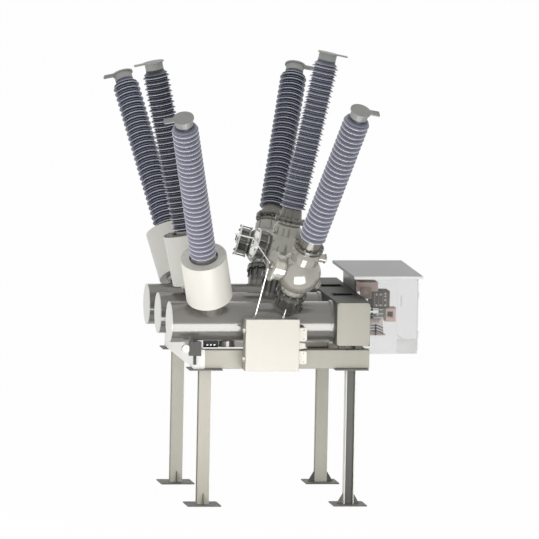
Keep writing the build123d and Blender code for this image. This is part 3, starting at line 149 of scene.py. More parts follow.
def copied(obj: Piece, matrix: Matrix) -> Piece:
    """Copies an object with a mesh of its own and puts the copy in place.

    Args:
        obj: The object that was modelled once, at the origin.
        matrix: The place of the copy.

    Returns:
        The copy.
    """
    twin = obj.copy()
    twin.data = obj.data.copy()
    bpy.context.scene.collection.objects.link(twin)
    return placed(twin, matrix)


def bevelled(obj: Piece, width: float, segments: int = 2) -> Piece:
    """Rounds a piece's edges with an applied bevel.

    Args:
        obj: The piece.
        width: Width of the bevel in metres.
        segments: Number of facets across the bevel.

    Returns:
        The same piece.
    """
    pick(obj)
    modifier = obj.modifiers.new("edge", "BEVEL")
    modifier.width = width
    modifier.segments = segments
    modifier.limit_method = "ANGLE"
    bpy.ops.object.modifier_apply(modifier="edge")
    bpy.ops.object.shade_smooth_by_angle(angle=SMOOTH_ANGLE)
    return obj


def select_faces(obj: Piece, normal: Vector, above: float = -inf) -> None:
    """Enters edit mode with only the faces selected that look one way.

    Args:
        obj: The piece.
        normal: The direction that the faces look in.
        above: Height that the middles of the faces lie above.
    """
    pick(obj)
    bpy.ops.object.mode_set(mode="EDIT")
    bpy.ops.mesh.select_mode(type="FACE")
    bpy.ops.mesh.select_all(action="DESELECT")
    bpy.ops.object.mode_set(mode="OBJECT")
    for polygon in obj.data.polygons:
        turned_so = polygon.normal.dot(normal) > LEAST_COSINE
        polygon.select = turned_so and polygon.center.z > above
    bpy.ops.object.mode_set(mode="EDIT")


def extruded(push: Triple) -> None:
    """Extrudes the selected faces by a shift and leaves edit mode."""
    bpy.ops.mesh.extrude_region_move(TRANSFORM_OT_translate={"value": push})
    bpy.ops.object.mode_set(mode="OBJECT")


def stepped(obj: Piece, normal: Vector, rim: float, depth: float = 0.0,
            push: Triple | None = None) -> Piece:
    """Insets the faces that look one way, and pushes what lies inside the rim.

    Args:
        obj: The piece.
        normal: The direction that the faces look in.
        rim: Width of the rim.
        depth: Rise of the inner face, with a sloping rim.
        push: Shift of the inner face, with an upright step.

    Returns:
        The same piece.
    """
    select_faces(obj, normal)
    bpy.ops.mesh.inset(thickness=rim, depth=depth)
    if push:
        extruded(push)
    rest_all()
    return obj


def narrowed(obj: Piece, normal: Vector, share: Triple) -> Piece:
    """Scales the faces that look one way about their middle.

    Args:
        obj: The piece.
        normal: The direction that the faces look in.
        share: Scale along each axis.

    Returns:
        The same piece.
    """
    select_faces(obj, normal)
    bpy.ops.transform.resize(value=share)
    bpy.ops.object.mode_set(mode="OBJECT")
    return obj


def block(low: Triple, high: Triple, edge: float = 0.0) -> Piece:
    """Makes a block between two corners, with its edges rounded.

    Args:
        low: Lowest corner.
        high: Highest corner.
        edge: Width of the rounding.

    Returns:
        The block.
    """
    rest_all()
    start, end = Vector(low), Vector(high)
    bpy.ops.mesh.primitive_cube_add(size=1.0)
    cube = bpy.context.active_object
    placed(cube, Matrix.Translation((start + end) / 2) @ Matrix.Diagonal((*(end - start), 1.0)))
    return bevelled(cube, edge) if edge else cube


def drum(radius: float, height: float, sides: int = 32) -> Piece:
    """Makes a cylinder that stands on the origin.

    Args:
        radius: Its radius.
        height: Its height along Z.
        sides: Number of its sides.

    Returns:
        The cylinder.
    """
    rest_all()
    bpy.ops.mesh.primitive_cylinder_add(
        vertices=sides, radius=radius, depth=height, location=(0, 0, height / 2)
    )
    obj = bpy.context.active_object
    return placed(obj, obj.matrix_world.copy())


def hoop(radius: float, wire: float, place: Matrix, steps: int, sides: int) -> Piece:
    """Makes a smooth torus.

    Args:
        radius: Radius of its middle line.
        wire: Radius of its section.
        place: Its centre, with Z along its axis.
        steps: Number of sections round the axis.
        sides: Number of sides of a section.

    Returns:
        The torus.
    """
    rest_all()
    bpy.ops.mesh.primitive_torus_add(
        major_radius=radius, minor_radius=wire, major_segments=steps, minor_segments=sides
    )
    torus = placed(bpy.context.active_object, place)
    bpy.ops.object.shade_smooth()
    return torus


def hex_screw(radius: float, height: float) -> Piece:
    """Models a hexagon screw head with a washer and a dished top, standing on the origin.

    Args:
        radius: Radius across the corners.
        height: Height of the head.

    Returns:
        The screw head.
    """
    head = drum(radius, height, 6)
    select_faces(head, UPWARD)
    bpy.ops.mesh.inset(thickness=radius * 0.16, depth=0.0)
    bpy.ops.mesh.inset(thickness=radius * 0.1, depth=-height * 0.12)
    rest_all()
    washer = bevelled(drum(radius * 1.22, height * 0.22, 16), height * 0.05, 1)
    return joined([head, washer])


def axis_frame(origin: Vector, x_axis: Vector, z_axis: Vector) -> Matrix:
    """Builds the matrix of a place from its X and Z directions.

    Args:
        origin: The place.
        x_axis: Direction of its X.
        z_axis: Direction of its Z.

    Returns:
        The matrix.
    """
    turned = Matrix((x_axis, z_axis.cross(x_axis), z_axis)).transposed().to_4x4()
    return Matrix.Translation(origin) @ turned


def ring_places(place: Matrix, radius: float, count: int) -> list[Matrix]:
    """Works out the places of fasteners round a circle.

    Args:
        place: The circle's centre, with Z along its axis.
        radius: The circle's radius.
        count: Number of fasteners.

    Returns:
        The places.
    """
    turns = [Matrix.Rotation(2 * pi * number / count, 4, "Z") for number in range(count)]
    return [place @ turn @ Matrix.Translation((radius, 0, 0)) for turn in turns]


def screws_at(size: Pair, places: list[Matrix]) -> Piece:
    """Models one screw and copies it to every place.

    Args:
        size: Radius across the corners and height of a head.
        places: Where the screws sit, with Z out of the surface.

    Returns:
        The joined screws.
    """
    pattern = hex_screw(*size)
    copies = [copied(pattern, place) for place in places]
    bpy.data.objects.remove(pattern, do_unlink=True)
    return joined(copies)


@dataclass
class NodeTable:
    """Adds nodes and links to one node tree."""

    tree: Tree

    def put(self, node: Node, inputs: dict) -> None:
        """Sets inputs of a node to values, or links sockets to them.

        Args:
            node: The node.
            inputs: Value or socket for each input, by its name or number.
        """
        for key, value in inputs.items():
            if isinstance(value, Socket):
                self.tree.links.new(value, node.inputs[key])
            else:
                node.inputs[key].default_value = value

    def add(self, kind: str, inputs: dict | None = None, **settings: object) -> Node:
        """Adds a node.

        Args:
            kind: The node's type name without its prefix.
            inputs: Value or socket for each input.
            settings: Properties set on the node.

        Returns:
            The node.
        """
        node = self.tree.nodes.new("ShaderNode" + kind)
        for key, value in settings.items():
            setattr(node, key, value)
        self.put(node, inputs or {})
        return node

    def place(self) -> Socket:
        """Gives the object coordinates."""
        return self.add("TexCoord").outputs["Object"]

    def math(self, operation: str, first: object, second: object = 0.0) -> Socket:
        """Adds a Math node on two values or sockets.

        Args:
            operation: The node's operation.
            first: First number or socket.
            second: Second number or socket.

        Returns:
            The result's socket.
        """
        return self.add("Math", {0: first, 1: second}, operation=operation).outputs[0]

    def vector_math(self, operation: str, first: object, second: object = (0.0, 0.0, 0.0),
                    ) -> Sockets:
        """Adds a Vector Math node on two vectors or sockets.

        Args:
            operation: The node's operation.
            first: First vector or socket.
            second: Second vector or socket.

        Returns:
            The node's outputs.
        """
        return self.add("VectorMath", {0: first, 1: second}, operation=operation).outputs

    def noise(self, vector: Socket, scale: object, detail: float) -> Socket:
        """Adds a noise texture.

        Args:
            vector: Its coordinates.
            scale: Its scale, a number or a socket.
            detail: Its detail.

        Returns:
            The factor's socket.
        """
        node = self.add("TexNoise", {"Vector": vector, "Scale": scale, "Detail": detail})
        return node.outputs["Fac"]

    def ramp(self, value: Socket, low: object, high: object,
             to_low: float = 0.0, to_high: float = 1.0) -> Socket:
        """Maps one range of a value to another.

        Args:
            value: The value's socket.
            low: Start of the range, a number or a socket.
            high: End of the range, a number or a socket.
            to_low: Result at the start.
            to_high: Result at the end.

        Returns:
            The mapped value's socket.
        """
        return self.add("MapRange", {"Value": value, "From Min": low, "From Max": high,
                                     "To Min": to_low, "To Max": to_high}).outputs[0]

    def blend(self, factor: object, first: object, second: object) -> Socket:
        """Mixes two colours.

        Args:
            factor: Share of the second colour, a number or a socket.
            first: First colour or socket.
            second: Second colour or socket.

        Returns:
            The mixed colour's socket.
        """
        return self.add("Mix", {0: factor, 6: first, 7: second}, data_type="RGBA").outputs[2]


@dataclass(frozen=True)
class Line:
    """A line in space that finishes are measured along."""

    foot: Triple = (0.0, 0.0, 0.0)
    axis: Triple = (0.0, 0.0, 1.0)


class EffectLibrary:
    """Shader node groups that several finishes share."""

    skin_outputs = {"Color": "NodeSocketColor", "Roughness": "NodeSocketFloat",
                    "Height": "NodeSocketFloat"}
    streak_scale = (14.0, 14.0, 0.9)
    streak_share = 0.6
    lying_range = (0.35, 0.95)
    dust_scale = 9.0
    dust_patches = (0.35, 0.7)
    cloud_roughness = 0.12
    dust_roughness = 0.35
    cast_scale = 5.0
    cast_color = (0.42, 0.8, 0.0, 0.45)
    cast_roughness = (0.3, 0.7, -0.05, 0.08)
    pit_depth = 0.5
    grain_scale = 8.0
    grain_share = 0.5
    grain_color = (0.35, 0.65, 0.0, 0.5)
    grain_roughness = (0.3, 0.7, -0.06, 0.1)

    def __init__(self) -> None:
        """Builds every group once."""
        self.paint = self._paint()
        self.cast = self._cast()
        self.rings = self._rings()
        self.grain = self._grain()

    def measured(self, table: NodeTable, line: Line, **limits: float) -> Sockets:
        """Measures along a line and away from it.

        Args:
            table: The material's node table.
            line: The line.
            limits: Distance where Rim is 0, as Inner, and where it is 1, as Outer.

        Returns:
            The outputs Rim and Along.
        """
        inputs = {"Foot": line.foot, "Axis": line.axis, **limits}
        return table.add("Group", inputs, node_tree=self.rings).outputs

    @staticmethod
    def _group(name: str, inputs: dict[str, object], outputs: dict[str, str],
               ) -> tuple[NodeTable, Sockets, Node]:
        """Makes an empty group with named sockets.

        Args:
            name: The group's name.
            inputs: Default value for each input; a tuple of 4 is a colour, of 3 a vector.
            outputs: Socket type for each output.

        Returns:
            The node table, the sockets of the group's inputs and the output node.
        """
        tree = bpy.data.node_groups.new(name, "ShaderNodeTree")
        for key, value in inputs.items():
            size = len(value) if isinstance(value, tuple) else 1
            kind = {1: "NodeSocketFloat", 3: "NodeSocketVector", 4: "NodeSocketColor"}[size]
            socket = tree.interface.new_socket(key, in_out="INPUT", socket_type=kind)
            socket.default_value = value
        for key, kind in outputs.items():
            tree.interface.new_socket(key, in_out="OUTPUT", socket_type=kind)
        given = tree.nodes.new("NodeGroupInput").outputs
        return NodeTable(tree), given, tree.nodes.new("NodeGroupOutput")

    def _paint(self) -> Tree:
        """Paint: soft mottling, run-off streaks, dust on what looks up, orange-peel height."""
        table, given, end = self._group(
            "paint_skin",
            {"Color": (0.5, 0.5, 0.5, 1.0), "Dust Color": (0.45, 0.43, 0.38, 1.0), "Mottle": 0.05,
             "Scale": 3.0, "Dust": 0.1, "Roughness": 0.4, "Peel": 220.0},
            self.skin_outputs,
        )
        place = table.place()
        cloudy = table.math("SUBTRACT", table.noise(place, given["Scale"], 4.0), 0.5)
        run_off = table.add("Mapping", {"Vector": place, "Scale": self.streak_scale})
        streak = table.math("SUBTRACT", table.noise(run_off.outputs[0], 1.0, 3.0), 0.5)
        both = table.math("ADD", cloudy, table.math("MULTIPLY", streak, self.streak_share))
        swing = table.math("MULTIPLY", both, table.math("MULTIPLY", given["Mottle"], 4.0))
        tint = table.add("HueSaturation", {"Color": given["Color"],
                                           "Value": table.math("ADD", swing, 1.0)})
        facing = table.add("SeparateXYZ", {0: table.add("NewGeometry").outputs["Normal"]})
        lying = table.ramp(facing.outputs["Z"], *self.lying_range)
        patches = table.ramp(table.noise(place, self.dust_scale, 5.0), *self.dust_patches)
        dust = table.math("MULTIPLY", table.math("MULTIPLY", lying, patches), given["Dust"])
        rough = table.math("ADD", given["Roughness"],
                           table.math("MULTIPLY", cloudy, self.cloud_roughness))
        table.put(end, {
            "Color": table.blend(dust, tint.outputs[0], given["Dust Color"]),
            "Roughness": table.math("ADD", rough,
                                    table.math("MULTIPLY", dust, self.dust_roughness)),
            "Height": table.noise(place, given["Peel"], 2.0),
        })
        return table.tree

    def _cast(self) -> Tree:
        """Casting: sand grain, shallow pits and cloudy colour."""
        table, given, end = self._group(
            "cast_skin",
            {"Color": (0.4, 0.4, 0.38, 1.0), "Dark": (0.2, 0.2, 0.19, 1.0), "Roughness": 0.35,
             "Grain": 260.0},
            self.skin_outputs,
        )
        place = table.place()
        cloudy = table.noise(place, self.cast_scale, 5.0)
        pits = table.add("TexVoronoi", {"Vector": place, "Scale": given["Grain"]})
        shallow = table.math("MULTIPLY", pits.outputs["Distance"], self.pit_depth)
        table.put(end, {
            "Color": table.blend(table.ramp(cloudy, *self.cast_color), given["Color"],
                                 given["Dark"]),
            "Roughness": table.math("ADD", given["Roughness"],
                                    table.ramp(cloudy, *self.cast_roughness)),
            "Height": table.math("ADD", shallow, table.noise(place, given["Grain"], 3.0)),
        })
        return table.tree

    def _rings(self) -> Tree:
        """Distance from a line, from 0 at the inner radius to 1 at the outer, and along it."""
        table, given, end = self._group(
            "shed_rings",
            {"Foot": (0.0, 0.0, 0.0), "Axis": (0.0, 0.0, 1.0), "Inner": 0.13, "Outer": 0.167},
            {"Rim": "NodeSocketFloat", "Along": "NodeSocketFloat"},
        )
        offset = table.vector_math("SUBTRACT", table.place(), given["Foot"])[0]
        side = table.vector_math("CROSS_PRODUCT", offset, given["Axis"])[0]
        away = table.vector_math("LENGTH", side)["Value"]
        table.put(end, {
            "Rim": table.ramp(away, given["Inner"], given["Outer"]),
            "Along": table.vector_math("DOT_PRODUCT", offset, given["Axis"])["Value"],
        })
        return table.tree

    def _grain(self) -> Tree:
        """Fine lines along one axis, as on drawn or ground metal."""
        table, given, end = self._group(
            "drawn_grain",
            {"Stretch": (60.0, 60.0, 900.0), "Color": (0.6, 0.6, 0.6, 1.0),
             "Dark": (0.3, 0.3, 0.3, 1.0), "Roughness": 0.3},
            self.skin_outputs,
        )
        place = table.place()
        stretched = table.vector_math("MULTIPLY", place, given["Stretch"])[0]
        lines = table.noise(stretched, 1.0, 3.0)
        cloudy = table.noise(place, self.grain_scale, 4.0)
        mixed = table.math("ADD", table.math("MULTIPLY", lines, self.grain_share),
                           table.math("MULTIPLY", cloudy, self.grain_share))
        table.put(end, {
            "Color": table.blend(table.ramp(mixed, *self.grain_color), given["Color"],
                                 given["Dark"]),
            "Roughness": table.math("ADD", given["Roughness"],
                                    table.ramp(mixed, *self.grain_roughness)),
            "Height": lines,
        })
        return table.tree


@dataclass(frozen=True)
class Finish:
    """What every finish shares: its name, display colour and plain shader values."""

    name: str
    color: Color
    roughness: float = 0.5
    metallic: float = 0.0
    coat: float = 0.0
    bump: float = 0.02
    alpha: float = 1.0

    def build(self, effects: EffectLibrary) -> Material:
        """Builds the finish's material.

        Args:
            effects: The shared node groups.

        Returns:
            The material.
        """
        material = bpy.data.materials.new(self.name)
        material.use_nodes = True
        material.diffuse_color = linear(*self.color)
        table = NodeTable(material.node_tree)
        shader = material.node_tree.nodes["Principled BSDF"]
        table.put(shader, {
            "Base Color": linear(*self.color), "Metallic": self.metallic, "Alpha": self.alpha,
            "Coat Weight": self.coat, "Coat Roughness": COAT_ROUGHNESS,
        })
        skin = self.skin(table, effects).outputs
        relief = table.add("Bump", {"Strength": self.bump, "Distance": RELIEF_DEPTH,
                                    "Height": skin["Height"]})
        table.put(shader, {
            "Base Color": skin["Color"], "Roughness": skin["Roughness"],
            "Normal": relief.outputs[0], "Alpha": self.opacity(table),
        })
        return material

    def skin(self, table: NodeTable, effects: EffectLibrary) -> Node:
        """Adds the group that gives the finish its colour, roughness and height.

        Args:
            table: The material's node table.
            effects: The shared node groups.

        Returns:
            The group node.
        """
        raise NotImplementedError

    def shade(self, table: NodeTable, effects: EffectLibrary) -> object:
        """Works out the colour that the group starts from.

        Args:
            table: The material's node table.
            effects: The shared node groups.

        Returns:
            A colour, or the socket of one that changes from place to place.
        """
        return linear(*self.color)

    def opacity(self, table: NodeTable) -> object:
        """Gives the alpha, as a number or a socket."""
        return self.alpha


@dataclass(frozen=True)
class PaintFinish(Finish):
    """Sprayed or powder-coated steel."""

    mottle: float = 0.03
    scale: float = 2.5
    dust: float = 0.12
    peel: float = 240.0

    def skin(self, table: NodeTable, effects: EffectLibrary) -> Node:
        """Adds the paint group."""
        return table.add("Group", {
            "Color": self.shade(table, effects), "Mottle": self.mottle, "Scale": self.scale,
            "Dust": self.dust, "Roughness": self.roughness, "Peel": self.peel,
        }, node_tree=effects.paint)


@dataclass(frozen=True)
class CastFinish(Finish):
    """A cast surface, bare or thinly painted."""

    dark: Color = (70, 70, 66)
    grain: float = 260.0

    def skin(self, table: NodeTable, effects: EffectLibrary) -> Node:
        """Adds the casting group."""
        return table.add("Group", {
            "Color": self.shade(table, effects), "Dark": linear(*self.dark),
            "Roughness": self.roughness, "Grain": self.grain,
        }, node_tree=effects.cast)


@dataclass(frozen=True)
class MetalFinish(Finish):
    """Drawn, ground or plated metal with grain along one axis."""

    metallic: float = 1.0
    dark: Color = (110, 110, 108)
    stretch: Triple = (60.0, 60.0, 900.0)

    def skin(self, table: NodeTable, effects: EffectLibrary) -> Node:
        """Adds the grain group."""
        return table.add("Group", {
            "Color": self.shade(table, effects), "Dark": linear(*self.dark),
            "Roughness": self.roughness, "Stretch": self.stretch,
        }, node_tree=effects.grain)


@dataclass(frozen=True)
class HousingFinish(CastFinish):
    """Casting of a disconnector, with its two flange ends darker than its body."""

    ends: Color = (66, 66, 62)
    line: Line = Line()
    low_end: float = 0.499
    high_end: float = 1.166
    fade: float = 0.004

    def shade(self, table: NodeTable, effects: EffectLibrary) -> Socket:
        """Darkens what lies beyond the two ends."""
        along = effects.measured(table, self.line)["Along"]
        low = table.ramp(along, self.low_end + self.fade, self.low_end)
        high = table.ramp(along, self.high_end - self.fade, self.high_end)
        return table.blend(table.math("MAXIMUM", low, high), linear(*self.color),
                           linear(*self.ends))


@dataclass(frozen=True)
class TankFinish(PaintFinish):
    """Tank paint, with the ribbed neck under the disconnector darker."""

    neck: Color = (88, 87, 83)
    line: Line = Line()
    neck_radius: float = 0.200
    neck_start: float = 0.262
    side_fade: float = 0.003
    start_fade: float = 0.004

    def shade(self, table: NodeTable, effects: EffectLibrary) -> Socket:
        """Darkens the right-hand neck."""
        near = effects.measured(table, self.line, Inner=self.neck_radius + self.side_fade,
                                Outer=self.neck_radius)
        above = table.ramp(near["Along"], self.neck_start, self.neck_start + self.start_fade)
        return table.blend(table.math("MULTIPLY", near["Rim"], above), linear(*self.color),
                           linear(*self.neck))


@dataclass(frozen=True)
class EndCoatFinish(PaintFinish):
    """Paint that changes to a second coat beyond one level on a line."""

    end_coat: Color = (204, 203, 196)
    level: float = 1.033
    line: Line = Line()
    fade: float = 0.002

    def shade(self, table: NodeTable, effects: EffectLibrary) -> Socket:
        """Changes the coat beyond the level."""
        along = effects.measured(table, self.line)["Along"]
        beyond = table.ramp(along, self.level, self.level + self.fade)
        return table.blend(beyond, linear(*self.color), linear(*self.end_coat))


@dataclass(frozen=True)
class LegFinish(PaintFinish):
    """Post paint, with painted shade in the pockets between the flanges, and bare zinc on the foot
    and the top plate.
    """

    zinc: Color = (88, 86, 83)
    pocket_shade: Color = (176, 171, 157)
    centre: Pair = (0.920, 1.079)
    half: Pair = (0.075, 0.060)
    edge: Pair = (1.0, 1.0)
    slack: float = 0.0015
    zinc_top: float = 0.4
    plate_low: float = 1.6995

    def shade(self, table: NodeTable, effects: EffectLibrary) -> Socket:
        """Tells the pockets, the foot and the top plate from the post's outside."""
        place = table.add("SeparateXYZ", {0: table.place()}).outputs
        beyond, within = [], []
        for axis, middle, half, edge in zip("XY", self.centre, self.half, self.edge):
            from_middle = table.math("SUBTRACT", table.math("ABSOLUTE", place[axis]), middle)
            off = table.math("ABSOLUTE", from_middle)
            beyond.append(table.math("GREATER_THAN", off, half + self.slack))
            within.append(table.math("LESS_THAN", off, half - edge))
        foot = table.math("MULTIPLY", table.math("MAXIMUM", *beyond),
                          table.math("LESS_THAN", place["Z"], self.zinc_top))
        plate = table.math("GREATER_THAN", place["Z"], self.plate_low)
        # Painted shade in the pockets between the flanges.
        painted = table.blend(table.math("MULTIPLY", *within), linear(*self.color),
                              linear(*self.pocket_shade))
        return table.blend(table.math("MAXIMUM", foot, plate), painted, linear(*self.zinc))


@dataclass(frozen=True)
class ZonedFinish(PaintFinish):
    """Paint that changes to a second colour inside one box of space; inside the coupling housing
    that colour is painted shade, on the left bushing bases painted light.
    """

    second: Color = (30, 30, 30)
    centre: Triple = (0.0, 0.0, 0.0)
    half: Triple = (1.0, 1.0, 1.0)

    def shade(self, table: NodeTable, effects: EffectLibrary) -> Socket:
        """Changes the colour inside the box."""
        place = table.add("SeparateXYZ", {0: table.place()}).outputs
        inside: object = 1.0
        for axis, middle, half in zip("XYZ", self.centre, self.half):
            off = table.math("ABSOLUTE", table.math("SUBTRACT", place[axis], middle))
            inside = table.math("MULTIPLY", inside, table.math("LESS_THAN", off, half))
        return table.blend(inside, linear(*self.color), linear(*self.second))


@dataclass(frozen=True)
class PaneFinish(PaintFinish):
    """See-through pane paint, with the wall behind the mechanism in full paint."""

    wall: Color = (118, 118, 116)
    wall_end: float = 1.1275
    wall_front: float = -0.10

    def walled(self, table: NodeTable) -> Socket:
        """Tells the painted wall, as 1, from the see-through panes, as 0.

        Args:
            table: The material's node table.

        Returns:
            The socket of that number.
        """
        place = table.add("SeparateXYZ", {0: table.place()}).outputs
        return table.math("MULTIPLY", table.math("LESS_THAN", place["X"], self.wall_end),
                          table.math("GREATER_THAN", place["Y"], self.wall_front))

    def shade(self, table: NodeTable, effects: EffectLibrary) -> Socket:
        """Gives the wall its own colour."""
        return table.blend(self.walled(table), linear(*self.color), linear(*self.wall))

    def opacity(self, table: NodeTable) -> Socket:
        """Makes the wall opaque."""
        return table.ramp(self.walled(table), 0.0, 1.0, self.alpha, 1.0)


@dataclass(frozen=True)
class ShedFinish(PaintFinish):
    """Silicone of an insulator, with painted shade at its core and painted highlights on the rims
    of its sheds.
    """

    mottle: float = 0.05
    scale: float = 7.0
    dust: float = 0.1
    peel: float = 300.0
    core: Color = (48, 50, 62)
    rim: Color = (206, 207, 216)
    small_rim_highlight: float = 0.8
    line: Line = Line()
    core_radius: float = 0.113
    rim_radius: float = 0.167
    face_end: float = 0.75
    large_edge: Pair = (0.93, 0.985)
    small_edge: Pair = (0.60, 0.67)
    first_rim: float = 1.098
    pitch: float = 0.069
    small_at: float = 0.56
    small_reach: float = 0.14

    def shade(self, table: NodeTable, effects: EffectLibrary) -> Socket:
        """Paints shade towards the core and highlights on the rims of the large and small sheds.
        """
        near = effects.measured(table, self.line, Inner=self.core_radius, Outer=self.rim_radius)
        # Painted shade: the shed faces darken towards the core.
        face = table.blend(table.ramp(near["Rim"], 0.0, self.face_end), linear(*self.core),
                           linear(*self.color))
        steps = table.math("DIVIDE", table.math("SUBTRACT", near["Along"], self.first_rim),
                           self.pitch)
        from_small = table.math("SUBTRACT", table.math("FRACT", steps), self.small_at)
        at_small = table.math("LESS_THAN", table.math("ABSOLUTE", from_small), self.small_reach)
        small = table.math("MULTIPLY", at_small,
                           table.ramp(near["Rim"], *self.small_edge, 0.0, self.small_rim_highlight))
        # Painted highlights on the rims of the large sheds and, scaled down, of the small ones.
        rim_highlight = table.math("MAXIMUM", table.ramp(near["Rim"], *self.large_edge), small)
        return table.blend(rim_highlight, face, linear(*self.rim))


@dataclass
class Pole:
    """Places along one breaker pole, in metres."""

    name: str
    y: float
    lean: float
    tank_z: float = 2.278
    tank_radius: float = 0.254
    tilt: float = radians(12)
    port_tilt: float = radians(17)
    sphere_level: float = 0.786
    foot_x: dict = field(default_factory=lambda: {End.LEFT: -0.798, End.RIGHT: 0.05})

    def turned(self, x: float, y: float, z: float) -> Vector:
        """Vector of the upright pole, turned about the tank axis by this pole's lean."""
        return Matrix.Rotation(radians(self.lean), 3, "X") @ Vector((x, y, z))

    def foot(self, end: End) -> Vector:
        """Point where a bushing axis crosses the tank axis."""
        return Vector((self.foot_x[end], self.y, self.tank_z))

    def up(self, end: End) -> Vector:
        """Direction of a bushing axis."""
        return self.turned(end.value * sin(self.tilt), 0, cos(self.tilt))

    def outward(self, end: End) -> Vector:
        """Direction square to a bushing axis, in the pole's plane, towards +X."""
        return self.turned(cos(self.tilt), 0, -end.value * sin(self.tilt))

    def line(self, end: End) -> Line:
        """A bushing axis as a line for finishes."""
        return Line(tuple(self.foot(end)), tuple(self.up(end)))

    def across(self, end: End, distance: float) -> Matrix:
        """Place on a bushing axis with Z along it."""
        origin = self.foot(end) + self.up(end) * distance
        return axis_frame(origin, self.outward(end), self.up(end))

    def sphere(self) -> Vector:
        """Centre of the disconnector housing."""
        return self.foot(End.RIGHT) + self.up(End.RIGHT) * self.sphere_level

    def port_line(self) -> Line:
        """The side port's axis as a line for finishes."""
        direction = self.turned(-cos(self.port_tilt), 0, sin(self.port_tilt))
        return Line(tuple(self.sphere()), tuple(direction))


@dataclass(frozen=True)
class PoleLook:
    """Colours of one pole: its casting, its transformer and its two insulators, given as lighter
    and darker copies of one material as painted light and shade.
    """

    casting: Color
    casting_dark: Color
    transformer: Color
    shed_core_shade: dict[End, Color]
    shed_face: dict[End, Color]
    shed_rim_highlight: Color = (206, 207, 216)
    small_rim_highlight: float = 0.8
    transformer_top: Color = (134, 132, 125)
    screws: str = "casting"


